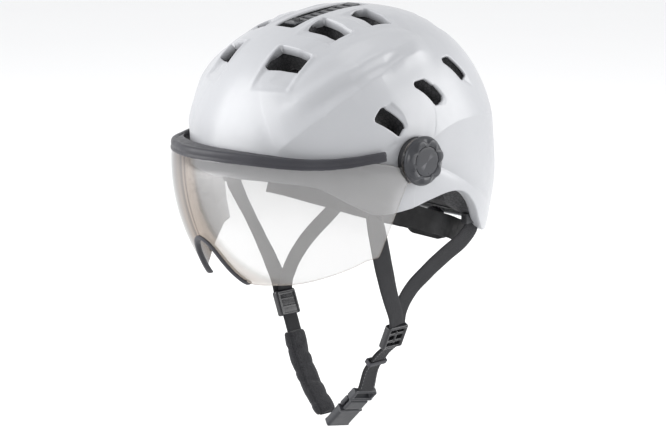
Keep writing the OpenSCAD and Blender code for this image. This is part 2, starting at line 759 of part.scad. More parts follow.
module dial_grip() {
    color([0.2, 0.2, 0.21]) difference() {
        along_y(RACK_Y + 4.8, RACK_Y + 10.2, dial_d / 2);
        along_y(RACK_Y + 4, RACK_Y + 11, dial_d / 2 - 2 + RUN);
        for (a = [0:20:340]) translate([0, 0, dial_z]) rotate([0, a, 0]) translate([dial_d / 2 + 0.6, 0, 0])
            rotate([-90, 0, 0]) cylinder(h = RACK_Y + 12, r = 1.3);
    }
}

// Involute flank of the pinion and the straight flank of its racks share one pressure angle
PRESSURE = 25;
BASE_R = pinion_r * cos(PRESSURE);
function involute(r) = let (a = acos(BASE_R / r)) tan(a) * 180 / PI - a;
HALF_TOOTH = 360 / pinion_teeth / 4 - 2.2 + involute(pinion_r);

module pinion() {
    radii = [for (k = [0:5]) BASE_R + (pinion_r + ADDENDUM - BASE_R) * k / 5];
    color(METAL_COLOR) difference() {
        translate([0, RACK_Y + 0.9, dial_z]) rotate([90, 0, 0]) linear_extrude(height = 1.8)
            polygon([for (n = [0:pinion_teeth - 1]) each concat(
                [let (a = n * 36 - HALF_TOOTH - 1) (pinion_r - DEDENDUM) * [sin(a), cos(a)]],
                [for (r = radii) let (a = n * 36 - HALF_TOOTH + involute(r)) r * [sin(a), cos(a)]],
                [for (r = reversed(radii)) let (a = n * 36 + HALF_TOOTH - involute(r)) r * [sin(a), cos(a)]],
                [let (a = n * 36 + HALF_TOOTH + 1) (pinion_r - DEDENDUM) * [sin(a), cos(a)]]
            )]);
        along_y(RACK_Y - 2, RACK_Y + 2, 2 + RUN);
    }
}

// A straight rack above the pinion, its teeth pointing down, from x0 to x1
module rack(x0, x1) {
    root = TOOTH_PITCH / 4 - 0.15 + DEDENDUM * tan(PRESSURE);
    tip = TOOTH_PITCH / 4 - 0.15 - ADDENDUM * tan(PRESSURE);
    translate([0, RACK_Y + 0.8, dial_z + pinion_r]) rotate([90, 0, 0]) linear_extrude(height = BAND_T) {
        translate([x0, DEDENDUM - 0.01]) square([x1 - x0, 3.8]);
        for (k = [ceil(x0 / TOOTH_PITCH):floor(x1 / TOOTH_PITCH) - 1])
            translate([(k + 0.5) * TOOTH_PITCH, 0])
                polygon([[-root, DEDENDUM], [-tip, -ADDENDUM], [tip, -ADDENDUM], [root, DEDENDUM]]);
    }
}

BAND_PATH = [
    [71.4, 0, -44], [73.4, 22, -51], [73.6, 47, -60], [70, 70, -68], [62.5, 88, -75], [56.5, 100, -79],
    [50.5, 109.2, -82], [46, 113.8, -83.6], [42.5, RACK_Y, -84], [38, RACK_Y, -84], [33, RACK_Y, -84],
];

module band(upper) {
    rack_x0 = -12;
    color(DARK_COLOR) union() {
        ribbon(BAND_PATH, [for (p = BAND_PATH) [0, p.x > 48 ? 0.15 : 0, 1]], BAND_H, BAND_T, 3);
        if (upper) rack(rack_x0, 34);
        else translate([0, 0, 2 * dial_z]) mirror([0, 0, 1]) rack(rack_x0, 34);
    }
}
module band_left() { band(true); }
module band_right() { mirror([1, 0, 0]) band(false); }

outer_shell();
eps_front();
eps_back();
vent_frame();
vent_slider();
visor_lens();
visor_seal();
nose_trim();
grommet_left();
grommet_right();
visor_bush_left();
visor_bush_right();
spring_washer_left();
spring_washer_right();
insert_nut_left();
insert_nut_right();
stud_left();
stud_right();
knob_left();
knob_right();
knob_cap_left();
knob_cap_right();
head_ring();
brow_pad();
crown_pad_left();
crown_pad_right();
side_pad_left();
side_pad_right();
housing_front();
housing_back();
housing_screws();
fit_dial();
dial_grip();
pinion();
band_left();
band_right();
strap_anchor_front_left();
strap_anchor_front_right();
strap_anchor_rear_left();
strap_anchor_rear_right();
front_strap_left();
front_strap_right();
rear_strap_left();
rear_strap_right();
divider_left();
divider_right();
lower_strap_left();
lower_strap_right();
chin_pad();
strap_keeper();
buckle_base();
buckle_clip();
buckle_magnet_base();
buckle_magnet_clip();
release_tab();
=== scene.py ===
"""A bicycle helmet with a flip visor: detailed pieces and procedural materials around its CAD frame."""
import math

import bmesh
import bpy
import numpy as np
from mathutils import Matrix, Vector
from mathutils.kdtree import KDTree


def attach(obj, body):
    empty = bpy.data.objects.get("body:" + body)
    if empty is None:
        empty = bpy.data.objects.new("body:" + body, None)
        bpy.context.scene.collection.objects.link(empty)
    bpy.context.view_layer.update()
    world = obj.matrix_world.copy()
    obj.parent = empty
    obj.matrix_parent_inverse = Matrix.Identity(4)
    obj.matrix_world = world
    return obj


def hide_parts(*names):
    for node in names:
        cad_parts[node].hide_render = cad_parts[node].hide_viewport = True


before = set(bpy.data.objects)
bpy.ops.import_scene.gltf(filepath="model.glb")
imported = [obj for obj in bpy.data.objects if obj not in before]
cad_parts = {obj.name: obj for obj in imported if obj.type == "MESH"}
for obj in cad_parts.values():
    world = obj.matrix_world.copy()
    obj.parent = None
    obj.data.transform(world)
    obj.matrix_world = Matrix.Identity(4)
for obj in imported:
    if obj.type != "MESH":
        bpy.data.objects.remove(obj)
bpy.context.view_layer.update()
scene = bpy.context.scene
MM = 0.001
RAD = math.pi / 180
SIDES = (("left", 1), ("right", -1))


def aimed(name, data, at, target):
    """A camera or a lamp in its place, looking at a target. Both are in metres."""
    obj = bpy.data.objects.new(name, data)
    scene.collection.objects.link(obj)
    obj.location = at
    obj.rotation_euler = (Vector(target) - Vector(at)).to_track_quat("-Z", "Y").to_euler()
    return obj


# ---------------- camera
CAMERA_AT = (1.128, -0.9532, 0.2627)
CAMERA_TARGET = (0.0129, -0.0017, -0.0618)
FOCAL_LENGTH = 101.35
SENSOR_WIDTH = 36
camera_data = bpy.data.cameras.new("camera")
camera_data.lens = FOCAL_LENGTH
camera_data.sensor_width = SENSOR_WIDTH
camera_data.clip_end = 60
scene.camera = aimed("camera", camera_data, CAMERA_AT, CAMERA_TARGET)

# ---------------- the helmet's form, in millimetres, as in the CAD
HALF_WIDTH = 107
CAVITY = (80, 103, 80)
CAVITY_Y = 17
PROFILE = [
    [-90, 185], [-60, 142], [-30, 116], [-5, 110], [20, 108], [45, 105], [70, 103], [90, 105],
    [110, 114], [135, 130], [160, 140], [180, 145], [200, 156], [225, 168], [270, 185],
]
SQUARENESS = [[-90, 2.4], [-10, 1.9], [70, 2.2], [135, 2.35], [225, 2.5], [270, 2.4]]
RIM = [
    [0, -14], [45, -17], [62, -32], [72, -40], [90, -38], [100, -34], [112, -31], [121, -35],
    [128, -47], [135, -65], [142, -75], [180, -80],
]
TOP_VENTS = [
    [[53.5, 11.5], [42, 12.5], [46.5, 27.5], [55.5, 27.5]],
    [[80, 11], [69.5, 13.5], [74, 28.5], [81, 28.5]],
    [[101.5, 12], [93.5, 14.5], [98, 28], [103.5, 28]],
]
SIDE_VENTS = [
    [[56.5, 63.7], [46.5, 64.5], [54, 77.2], [70.5, 75.7]],
    [[106.5, 57.7], [99, 59.6], [125, 65.3], [129, 62.2]],
    [[127.5, 42.7], [124.5, 45.2], [141, 46.8], [142.5, 44.3]],
]
REAR_VENTS = [
    [[140, 9], [128, 10], [130, 23], [140, 22]],
    [[162, 10], [151, 10], [152, 25], [162, 25]],
]
CROWN_SLOT = [[109, 4.6], [67, 5], [67, -5], [109, -4.6]]
POCKET_R = 16.8


def hermite(table, at):
    """Smooth curve through [position, value] pairs."""
    t = np.array(table, float)
    x, y = t[:, 0], t[:, 1]
    last = len(x) - 1
    after = np.minimum(np.arange(last + 1) + 1, last)
    before = np.maximum(np.arange(last + 1) - 1, 0)
    slope = (y[after] - y[before]) / (x[after] - x[before])
    i = np.clip(np.searchsorted(x, at, side="right") - 1, 0, last - 1)
    h = x[i + 1] - x[i]
    u = (at - x[i]) / h
    return (y[i] * (2 * u**3 - 3 * u**2 + 1) + slope[i] * h * (u**3 - 2 * u**2 + u)
            + y[i + 1] * (3 * u**2 - 2 * u**3) + slope[i + 1] * h * (u**3 - u**2))


def swing(phi, out):
    phi, out = phi * RAD, out * RAD
    return np.stack([np.sin(out), -np.cos(out) * np.cos(phi), np.cos(out) * np.sin(phi)], -1)


def shell_radius(d):
    phi = np.degrees(np.arctan2(d[..., 2], -d[..., 1]))
    phi = np.where(phi < -90, phi + 360, phi)
    n = hermite(SQUARENESS, phi)
    wide = (np.abs(d[..., 0]) / HALF_WIDTH) ** n
    return (wide + (np.hypot(d[..., 1], d[..., 2]) / hermite(PROFILE, phi)) ** n) ** (-1 / n)


def cavity_radius(d):
    high = np.where(d[..., 2] > 0, CAVITY[2], 300.0)
    a = (d[..., 0] / CAVITY[0]) ** 2 + (d[..., 1] / CAVITY[1]) ** 2 + (d[..., 2] / high) ** 2
    b = -2 * d[..., 1] * CAVITY_Y / CAVITY[1] ** 2
    c = (CAVITY_Y / CAVITY[1]) ** 2 - 1
    return (-b + np.sqrt(b * b - 4 * a * c)) / (2 * a)


def rim_table(lift):
    az = np.arange(0, 181, 1.0)
    el = np.zeros_like(az)
    for _ in range(8):
        d = np.stack([np.sin(az * RAD) * np.cos(el), -np.cos(az * RAD) * np.cos(el), np.sin(el)], -1)
        el = np.arcsin((hermite(RIM, az) + lift) / shell_radius(d))
    return az, np.degrees(el)


def segments(px, py, starts, ends):
    """For each segment: its run, the way to the points from its start, how far along it they are nearest,
    from 0 to 1, and their squared distance."""
    for (ax, ay), (bx, by) in zip(starts, ends):
        ex, ey = bx - ax, by - ay
        wx, wy = px - ax, py - ay
        t = np.clip((wx * ex + wy * ey) / (ex * ex + ey * ey), 0, 1)
        yield ex, ey, wx, wy, t, (wx - ex * t) ** 2 + (wy - ey * t) ** 2


def polygon_distance(px, py, corners):
    """Signed distance to a closed polygon, negative inside."""
    corners = np.asarray(corners, float)
    best = np.full(np.shape(px), 1e9)
    sign = np.ones(np.shape(px))
    after = np.roll(corners, -1, 0)
    for (_, ay), (_, by), found in zip(corners, after, segments(px, py, corners, after)):
        ex, ey, wx, wy, _, d = found
        best = np.minimum(best, d)
        a, b, c = py >= ay, py < by, ex * wy > ey * wx
        sign = np.where((a & b & c) | (~a & ~b & ~c), -sign, sign)
    return sign * np.sqrt(best)


def line_distance(px, py, points):
    """Signed distance to an open polyline (positive on its left), and how far along it, from 0 to 1."""
    points = np.asarray(points, float)
    best = np.full(np.shape(px), 1e9)
    side = np.zeros(np.shape(px))
    along = np.zeros(np.shape(px))
    lengths = np.hypot(*(points[1:] - points[:-1]).T)
    done = 0
    for (ex, ey, wx, wy, t, d), length in zip(segments(px, py, points[:-1], points[1:]), lengths):
        nearer = d < best
        best = np.where(nearer, d, best)
        side = np.where(nearer, np.sign(ex * wy - ey * wx), side)
        along = np.where(nearer, (done + t * length) / lengths.sum(), along)
        done += length
    return side * np.sqrt(best), along


def smooth(a, b, x):
    t = np.clip((x - a) / (b - a), 0, 1)
    return t * t * (3 - 2 * t)


def local_mm(corners):
    """Scale from the two angles of a feature to millimetres on the shell, about its middle."""
    mid = np.mean(corners, 0)
    r = float(shell_radius(swing(mid[0], mid[1])))
    return r * RAD * math.cos(mid[1] * RAD), r * RAD


def feature(phi, out, corners, inset):
    """Distance in millimetres to a feature's outline with rounded corners, negative inside."""
    ku, kv = local_mm(corners)
    scaled = [(c[0] * ku, c[1] * kv) for c in corners]
    mid = np.mean(scaled, 0)
    tight = [mid + (np.array(c) - mid) * (1 - 1.5 * inset / np.hypot(*(np.array(c) - mid))) for c in scaled]
    return polygon_distance(phi * ku, out * kv, tight) - inset


# Routes of the shell's creases and swells, and outlines of its dishes, in the two angles
SHARP_CREASE = [
    [3, 28], [6, 31], [15.7, 38.9], [28.8, 46.4], [46.6, 51.5], [72.9, 53.3], [102.2, 47.5], [118, 43],
]
HIGHLIGHT = [[20, 27], [30, 34], [42.5, 40.2], [65.2, 46.5], [93, 45.3], [114.3, 39.1], [126, 35]]
ARCH_FLARE = [[196, 84], [200, 69.5], [202.8, 56.7], [205.4, 37.4], [206, 20]]
SIDE_SWEEP = [[120, 84], [142, 77.7], [158, 57], [169.9, 36], [172, 20]]
REAR_GROOVE = [[122, 13], [130, 16], [139, 21.6], [150, 30]]
SIDE_SEAM = [[13, 74.8], [30, 77], [44.4, 78.5]]
CROWN_TROUGH = [[112, 22], [60, 22], [34, 18], [34, 30], [60, 36], [112, 34]]
VALLEY = [((a[0] + b[0]) / 2, (a[1] + b[1]) / 2) for a, b in zip(SHARP_CREASE[2:7], HIGHLIGHT[1:6])]
# How far the dish of each vent runs on past the vent: forward on the crown, back on the side
CROWN_REACH = (13, 8, 8)
SIDE_REACH = (13, 11, 8)


def ridge(phi, out, route, height, left, right, fade=0.15, sharp=1.0):
    """A ridge (or a groove, when height is negative) along a route, fading out at both ends."""
    ku, kv = local_mm(route)
    s, t = line_distance(phi * ku, out * kv, [(p[0] * ku, p[1] * kv) for p in route])
    width = np.where(s > 0, left, right)
    ends = smooth(0, fade, t) * smooth(0, fade, 1 - t)
    return height * ends * np.exp(-(np.abs(s) / width) ** sharp)


def relief(phi, out):
    """Height of the moulded details over the plain form of the shell."""
    w = np.abs(out)
    h = ridge(phi, w, SHARP_CREASE, 2.7, 7.5, 24, 0.12)
    h += ridge(phi, w, HIGHLIGHT, 2.4, 10, 6, 0.2, 2)
    h += ridge(phi, w, VALLEY, -3.0, 5.5, 5.5, 0.25, 2)
    h += ridge(phi, w, ARCH_FLARE, -2.4, 7, 15, 0.2) - 0.35 * smooth(172, 188, phi)
    h += ridge(phi, w, SIDE_SWEEP, 1.9, 9, 16, 0.25)
    h += ridge(phi, w, REAR_GROOVE, -2.0, 4, 4, 0.3, 2)
    h += ridge(phi, w, SIDE_SEAM, -0.7, 1.2, 4, 0.3)
    h += -1.0 * smooth(0.0, 8.0, -feature(phi, w, CROWN_TROUGH, 3))
    for (back, front, front_out, back_out), reach in zip(TOP_VENTS, CROWN_REACH):
        dish = [back, [front[0] - reach, front[1] - 1],
                [front_out[0] - reach, front_out[1] + 0.5], back_out]
        inside = feature(phi, w, dish, 1.2)
        ramp = np.clip((phi - (front[0] - reach)) / (reach + 5), 0, 1)
        h += -3.9 * smooth(0, 2.2, -inside) * ramp**1.2
        h += 1.0 * np.exp(-((inside - 1.2) / 1.6) ** 2) * ramp * smooth(107, 95, phi)
    for corners, reach in zip(SIDE_VENTS, SIDE_REACH):
        a, b, c, d = corners
        mid = np.mean(corners, 0)
        dish = [[a[0] + reach, a[1]], [b[0] - 1, b[1] - 0.6], [c[0] - 1, c[1] + 0.8], [d[0] + reach, d[1]]]
        inside = feature(phi, w, dish, 1.5)
        back = np.clip((mid[0] + reach + 8 - phi) / (reach + 8), 0, 1)
        h += -3.8 * smooth(0, 1.8, -inside) * back
    for corners in REAR_VENTS:
        h += -1.4 * smooth(0, 2.5, 3 - feature(phi, w, corners, 1.2))
    lip = feature(phi, out, CROWN_SLOT, 1.5)
    h += -1.2 * smooth(0, 2.0, 2.2 - lip)
    return h


def shell_point(phi, out):
    d = swing(phi, out)
    return d * (shell_radius(d) + relief(phi, out))[..., None]


def openings(phi, out, rim_az, rim_el, grow, pocket=True):
    """Millimetres of shell left before the nearest edge, and before the rim alone. Negative in an opening
    or under the rim."""
    d = swing(phi, out)
    az = np.degrees(np.arctan2(np.abs(d[..., 0]), -d[..., 1]))
    r = shell_radius(d)
    rim = (np.degrees(np.arcsin(np.clip(d[..., 2], -1, 1))) - np.interp(az, rim_az, rim_el)) * r * RAD
    left = rim.copy()
    w = np.abs(out)
    for corners in TOP_VENTS + SIDE_VENTS + REAR_VENTS:
        left = np.minimum(left, feature(phi, w, corners, 1.8) - grow)
    left = np.minimum(left, feature(phi, out, CROWN_SLOT, 1.6) - grow)
    if pocket:
        hub = np.hypot(d[..., 1], d[..., 2]) * r - POCKET_R
        left = np.minimum(left, np.where(w > 55, hub, 99))
    return left, rim


# ---------------- meshes
def mesh_object(name, verts, faces, sharp=None):
    """An object from points in millimetres. Edges sharper than sharp, in degrees, stay sharp."""
    mesh = bpy.data.meshes.new(name)
    mesh.from_pydata((np.asarray(verts, float) * MM).tolist(), [], [list(map(int, f)) for f in faces])
    mesh.update()
    obj = bpy.data.objects.new(name, mesh)
    scene.collection.objects.link(obj)
    mesh.shade_smooth()
    if sharp is not None:
        mesh.set_sharp_from_angle(angle=sharp * RAD)
    return obj


def clip_grid(us, vs, field):
    """Cells of a grid of two parameters where field > 0, clipped along field = 0. Returns the points, the
    faces and the border's edges. Grid points close to the border are moved onto it."""
    u, v = np.meshgrid(us, vs, indexing="ij")
    hu, hv = us[1] - us[0], vs[1] - vs[0]
    level = field(u, v)
    gu = (field(u + hu / 4, v) - field(u - hu / 4, v)) * 2
    gv = (field(u, v + hv / 4) - field(u, v - hv / 4)) * 2
    slope = np.maximum(np.hypot(gu, gv), 1e-6)
    near = np.abs(level) < 0.25 * slope
    u = np.where(near, u - level * gu / slope**2 * hu, u)
    v = np.where(near, v - level * gv / slope**2 * hv, v)
    level = np.where(near, 0, level).ravel()
    index = np.arange(u.size).reshape(u.shape)
    if abs((us[-1] - us[0]) - 360) < 1e-6:
        index[-1] = index[0]
    points = np.stack([u.ravel(), v.ravel()], -1)
    cells = np.stack([index[:-1, :-1], index[1:, :-1], index[1:, 1:], index[:-1, 1:]], -1).reshape(-1, 4)
    inside = (level[cells] > 0).any(1)
    whole = (level[cells] >= 0).all(1)
    faces = cells[inside & whole].tolist()
    extra, new = {}, []
    for cell in cells[inside & ~whole].tolist():
        poly = []
        for a, b in zip(cell, cell[1:] + cell[:1]):
            if level[a] >= 0:
                poly.append(a)
            if level[a] * level[b] < 0:
                key = (min(a, b), max(a, b))
                if key not in extra:
                    t = level[a] / (level[a] - level[b])
                    start, end = points[a].copy(), points[b].copy()
                    if start[0] - end[0] > 180:
                        end[0] += 360
                    elif end[0] - start[0] > 180:
                        start[0] += 360
                    extra[key] = len(points) + len(new)
                    new.append(start + (end - start) * t)
                poly.append(extra[key])
        if len(poly) > 2:
            faces.append(poly)
    if new:
        points = np.concatenate([points, new])
    used = sorted({k for f in faces for k in f})
    renumber = {k: i for i, k in enumerate(used)}
    faces = [[renumber[k] for k in f] for f in faces]
    seen = dict.fromkeys((a, b) for f in faces for a, b in zip(f, f[1:] + f[:1]))
    border = [(a, b) for a, b in seen if (b, a) not in seen]
    return points[used], faces, border


def frame_on(points, place, field, step=0.05):
    """Outward normal of a surface, and the direction in it that leads out over its nearest border."""
    u, v = points[:, 0], points[:, 1]
    du = (place(u + step, v) - place(u - step, v)) / (2 * step)
    dv = (place(u, v + step) - place(u, v - step)) / (2 * step)
    n = np.cross(dv, du)
    n /= np.linalg.norm(n, axis=1)[:, None]
    fu = (field(u + step, v) - field(u - step, v)) / (2 * step)
    fv = (field(u, v + step) - field(u, v - step)) / (2 * step)
    e, f, g = (du * du).sum(1), (du * dv).sum(1), (dv * dv).sum(1)
    det = np.maximum(e * g - f * f, 1e-9)
    grad = ((g * fu - f * fv) / det)[:, None] * du + ((e * fv - f * fu) / det)[:, None] * dv
    return n, -grad / np.maximum(np.linalg.norm(grad, axis=1), 1e-9)[:, None]


def solid_patch(name, grid, outer, inner, rings):
    """A closed solid from a clipped grid: outer and inner skins, and rings of points from one to the other
    round every border. rings gives each ring's positions for the border points, and a mask of the points
    that the ring has, or None for all of them."""
    points, faces, border = grid
    count = len(points)
    verts = [outer, inner]
    edge_ids = np.array(sorted({a for a, _ in border}))
    total = 2 * count
    chains = {k: [k] for k in edge_ids.tolist()}
    for ring, mask in rings(edge_ids):
        ids = np.arange(len(edge_ids)) if mask is None else np.nonzero(mask)[0]
        verts.append(ring[ids])
        for order, k in enumerate(edge_ids[ids].tolist()):
            chains[k].append(total + order)
        total += len(ids)
    for k in chains:
        chains[k].append(k + count)
    out = [list(f) for f in faces] + [[k + count for k in reversed(f)] for f in faces]
    for a, b in border:
        ca, cb = chains[a], chains[b]
        for i in range(min(len(ca), len(cb)) - 1):
            out.append([cb[i], ca[i], ca[i + 1], cb[i + 1]])
    return mesh_object(name, np.concatenate(verts), out)


def rounding(points, away, normal, reach, depth, angles):
    """Rings that round an edge off, from a border's points out over it by reach and down by depth."""
    for angle in angles:
        a = angle * RAD
        yield points + away * reach * math.sin(a) - normal * depth * (1 - math.cos(a)), None


SHELL_STEP = 0.6
FOAM_STEP = 1.2
SHELL_LIP = 1.1
SHELL_SKIN = 2.0
# Past the rounded lip, as (depth below it, distance back under it): the wall in a vent, the flange at the rim
VENT_WALL = ((6.0, 0), (6.0, 0.9))
RIM_FLANGE = ((5.5, 0), (7.0, 0.6), (7.0, 2.2), (6.0, 2.6), (1.4, 2.6))
# Only the vents of the crown and the rear have that wall, and they lie between these angles from the middle
WALLED_FROM, WALLED_TO = 7, 35


def make_shell():
    rim_az, rim_el = rim_table(0)
    lip = SHELL_LIP

    def field(phi, out):
        return openings(phi, out, rim_az, rim_el, lip)[0] - lip

    grid = clip_grid(np.arange(-90, 270.01, SHELL_STEP), np.arange(-84, 84.01, SHELL_STEP), field)
    uv = grid[0]
    n, g = frame_on(uv, shell_point, field)
    outer = shell_point(uv[:, 0], uv[:, 1])
    rim_left = openings(uv[:, 0], uv[:, 1], rim_az, rim_el, lip)[1]
    inner = outer - n * SHELL_SKIN
    on_border = np.array(sorted({a for a, _ in grid[2]}))
    at_rim = np.zeros(len(uv), bool)
    at_rim[on_border] = rim_left[on_border] < 2.2 * lip
    w = np.abs(uv[:, 1])
    walled = (w > WALLED_FROM) & (w < WALLED_TO) & ~at_rim
    back_off = np.where(walled, lip - VENT_WALL[-1][1], lip)[:, None] * g
    inner[on_border] += np.where(at_rim[on_border, None], 0, back_off[on_border])

    def rings(ids):
        base, normal, away = outer[ids], n[ids], g[ids]
        yield from rounding(base, away, normal, lip, lip, (30, 60, 90))
        edge = base + away * lip - normal * lip
        for profile, mask in ((VENT_WALL, walled[ids]), (RIM_FLANGE, at_rim[ids])):
            for depth, back in profile:
                yield edge - normal * depth - away * back, mask

    return solid_patch("shell_skin", grid, outer, inner, rings)


def liner_inner(phi, out):
    """Inside of the foam: the head cavity with air channels, cut back at the nape for the fit system."""
    d = swing(phi, out)
    r = cavity_radius(d)
    w = np.abs(out)
    channel = np.exp(-((w - 19.5) / 3.2) ** 4) * smooth(38, 50, phi) * smooth(172, 160, phi)
    r = r + 5.5 * channel
    nape = 1 / np.sqrt((d[..., 0] / 89.6) ** 2 + (d[..., 1] / 112) ** 2 + 1e-9)
    low = smooth(-50, -60, r * d[..., 2]) * smooth(-10, 20, r * d[..., 1])
    limit = shell_radius(d) - 8.5
    r = r * (1 - low) + np.minimum(np.maximum(nape, r), limit) * low
    return d * np.minimum(r, limit)[..., None]


def make_liner():
    rim_az, rim_el = rim_table(3.5)
    lip, gap = 1.6, 2.7

    def field(phi, out):
        return openings(phi, out, rim_az, rim_el, 2.4, False)[0] - lip

    def outside(phi, out):
        d = swing(phi, out)
        hub = smooth(19, 17.4, np.hypot(d[..., 1], d[..., 2]) * shell_radius(d))
        r = shell_radius(d) + np.minimum(relief(phi, out), 0) - gap
        return d * (r - hub * 4.5 * (np.abs(out) > 50))[..., None]

    grid = clip_grid(np.arange(-90, 270.01, FOAM_STEP), np.arange(-89.4, 89.41, FOAM_STEP), field)
    uv = grid[0]
    outer = outside(uv[:, 0], uv[:, 1])
    inner = liner_inner(uv[:, 0], uv[:, 1])
    normal, away = frame_on(uv, liner_inner, field)

    def rings(ids):
        start, end, g, n = outer[ids], inner[ids], away[ids], normal[ids]
        yield start + g * 0.8 - n * 0.8, None
        wall = end + g * lip + n * lip
        for t in (0.34, 0.67):
            yield (start + g * lip) * (1 - t) + wall * t, None
        yield from rounding(end, g, -n, lip, lip, (90, 60, 30))

    return solid_patch("foam_liner", grid, outer, inner, rings)


def tube_faces(rows, count, first=0, closed=False):
    """Faces between rows of points that each go once round. The ends are capped, or meet when closed."""
    faces = []
    for i in range(rows if closed else rows - 1):
        near, far = first + i * count, first + (i + 1) % rows * count
        for k in range(count):
            after = (k + 1) % count
            faces.append([near + k, near + after, far + after, far + k])
    if not closed:
        faces.append([first + k for k in range(count)][::-1])
        faces.append([first + (rows - 1) * count + k for k in range(count)])
    return faces


def lathe(name, profile, at, way, steps, depth=None, sharp=35):
    """Turns a closed profile of (distance, radius) about the x axis. It starts at x = at and goes outward,
    to +x or -x by way. depth(angle, distance, radius) is taken off the radius."""
    verts = []
    for i in range(steps):
        a = 2 * math.pi * i / steps
        for along, radius in profile:
            r = radius - (depth(a, along, radius) if depth else 0)
            verts.append((at + way * along, -way * math.sin(a) * r, math.cos(a) * r))
    return mesh_object(name, verts, tube_faces(steps, len(profile), closed=True), sharp)


def sweep(name, sections, sharp=None):
    """Skins a list of closed sections, each an array of points, in order."""
    rings = np.asarray(sections, float)
    return weld(mesh_object(name, rings.reshape(-1, 3), tube_faces(*rings.shape[:2]), sharp))


def join(name, *parts):
    bpy.ops.object.select_all(action="DESELECT")
    for p in parts:
        p.select_set(True)
    bpy.context.view_layer.objects.active = parts[0]
    bpy.ops.object.join()
    parts[0].name = name
    return parts[0]


def weld(obj, distance=1e-6):
    bm = bmesh.new()
    bm.from_mesh(obj.data)
    bmesh.ops.remove_doubles(bm, verts=bm.verts, dist=distance)
    bmesh.ops.recalc_face_normals(bm, faces=bm.faces)
    bm.to_mesh(obj.data)
    bm.free()
    return obj


def points_of(obj):
    return np.array([v.co[:] for v in obj.data.vertices])


def move_points(obj, points):
    """Puts an object's vertices at points, in metres, and shades it smooth."""
    obj.data.vertices.foreach_set("co", points.ravel())
    obj.data.update()
    obj.data.shade_smooth()
    return obj


def add_remesh(obj, voxel):
    remesh = obj.modifiers.new("remesh", "REMESH")
    remesh.mode = "VOXEL"
    remesh.voxel_size = voxel * MM


def apply_modifiers(obj):
    graph = bpy.context.evaluated_depsgraph_get()
    mesh = bpy.data.meshes.new_from_object(obj.evaluated_get(graph))
    obj.modifiers.clear()
    obj.data = mesh
    return obj


# ---------------- materials
class Look:
    """A material on one Principled shader, with helpers for its nodes."""

    def __init__(self, name, **sockets):
        self.material = bpy.data.materials.new(name)
        self.material.use_nodes = True
        self.tree = self.material.node_tree
        self.shader = self.tree.nodes["Principled BSDF"]
        for key, value in sockets.items():
            self.shader.inputs[key.replace("_", " ")].default_value = value

    def node(self, kind, settings=None, **inputs):
        """A node with its settings, and its inputs by name, or by number as i0, i1 and so on."""
        n = self.tree.nodes.new(kind)
        for key, value in (settings or {}).items():
            setattr(n, key, value)
        for key, value in inputs.items():
            numbered = key[0] == "i" and key[1:].isdigit()
            socket = n.inputs[int(key[1:])] if numbered else n.inputs[key.replace("_", " ")]
            if isinstance(value, bpy.types.NodeSocket):
                self.tree.links.new(value, socket)
            else:
                socket.default_value = (*value, 1) if socket.type == "RGBA" else value
        return n

    def coords(self, scale=(1, 1, 1)):
        out = self.node("ShaderNodeTexCoord").outputs["Object"]
        return self.node("ShaderNodeMapping", None, Vector=out, Scale=scale).outputs[0]

    def noise(self, scale, detail=3, rough=0.5, coords=None):
        return self.node("ShaderNodeTexNoise", None, Vector=coords or self.coords(), Scale=scale,
                         Detail=detail, Roughness=rough).outputs["Fac"]

    def cells(self, scale, feature="F1"):
        return self.node("ShaderNodeTexVoronoi", {"feature": feature}, Vector=self.coords(),
                         Scale=scale).outputs["Distance"]

    def math(self, kind, a, b=0.0):
        return self.node("ShaderNodeMath", {"operation": kind}, i0=a, i1=b).outputs[0]

    def spread(self, source, low, high, to_low, to_high):
        return self.node("ShaderNodeMapRange", None, Value=source, From_Min=low, From_Max=high,
                         To_Min=to_low, To_Max=to_high).outputs[0]

    def blend(self, factor, a, b):
        return self.node("ShaderNodeMix", {"data_type": "RGBA"}, i0=factor, i6=a, i7=b).outputs[2]

    def ramp(self, source, stops):
        """Colours by position, smooth between the stops."""
        n = self.node("ShaderNodeValToRGB", None, Fac=source)
        elements = n.color_ramp.elements
        while len(elements) < len(stops):
            elements.new(0.5)
        for element, (at, color) in zip(elements, stops):
            element.position = at
            element.color = (*color, 1)
        return n.outputs["Color"]

    def set(self, socket, value):
        self.tree.links.new(value, self.shader.inputs[socket])

    def color(self, factor, a, b):
        self.set("Base Color", self.blend(factor, a, b))

    def rough(self, source, low, high, to_low, to_high):
        self.set("Roughness", self.spread(source, low, high, to_low, to_high))

    def bump(self, height, strength, distance, under=None):
        n = self.node("ShaderNodeBump", None, Height=height, Strength=strength, Distance=distance)
        if under is not None:
            self.tree.links.new(under, n.inputs["Normal"])
        self.set("Normal", n.outputs[0])
        return n.outputs[0]


def plastic(name, color, high_edge_color, rough, grain, grain_depth, coat=0.0, shine=0.3):
    """Moulded plastic: fine grain, uneven gloss, and paler high edges."""
    look = Look(name, Coat_Weight=coat, Coat_Roughness=0.2, Specular_IOR_Level=shine)
    cloud = look.noise(45, 4)
    fine = look.noise(grain, 2)
    edge = look.node("ShaderNodeNewGeometry").outputs["Pointiness"]
    # The colour turns paler on high, sharp edges, unevenly
    high_edge_mask = look.math("MULTIPLY", look.spread(edge, 0.52, 0.6, 0, 1), look.spread(cloud, 0.4, 0.6, 0.2, 0.9))
    tone = look.blend(look.spread(cloud, 0.35, 0.65, 0, 1), color, [c * 1.22 for c in color])
    look.color(high_edge_mask, tone, high_edge_color)
    look.rough(look.noise(220, 3), 0.3, 0.7, rough - 0.06, rough + 0.08)
    look.bump(fine, 0.35, grain_depth)
    return look.material


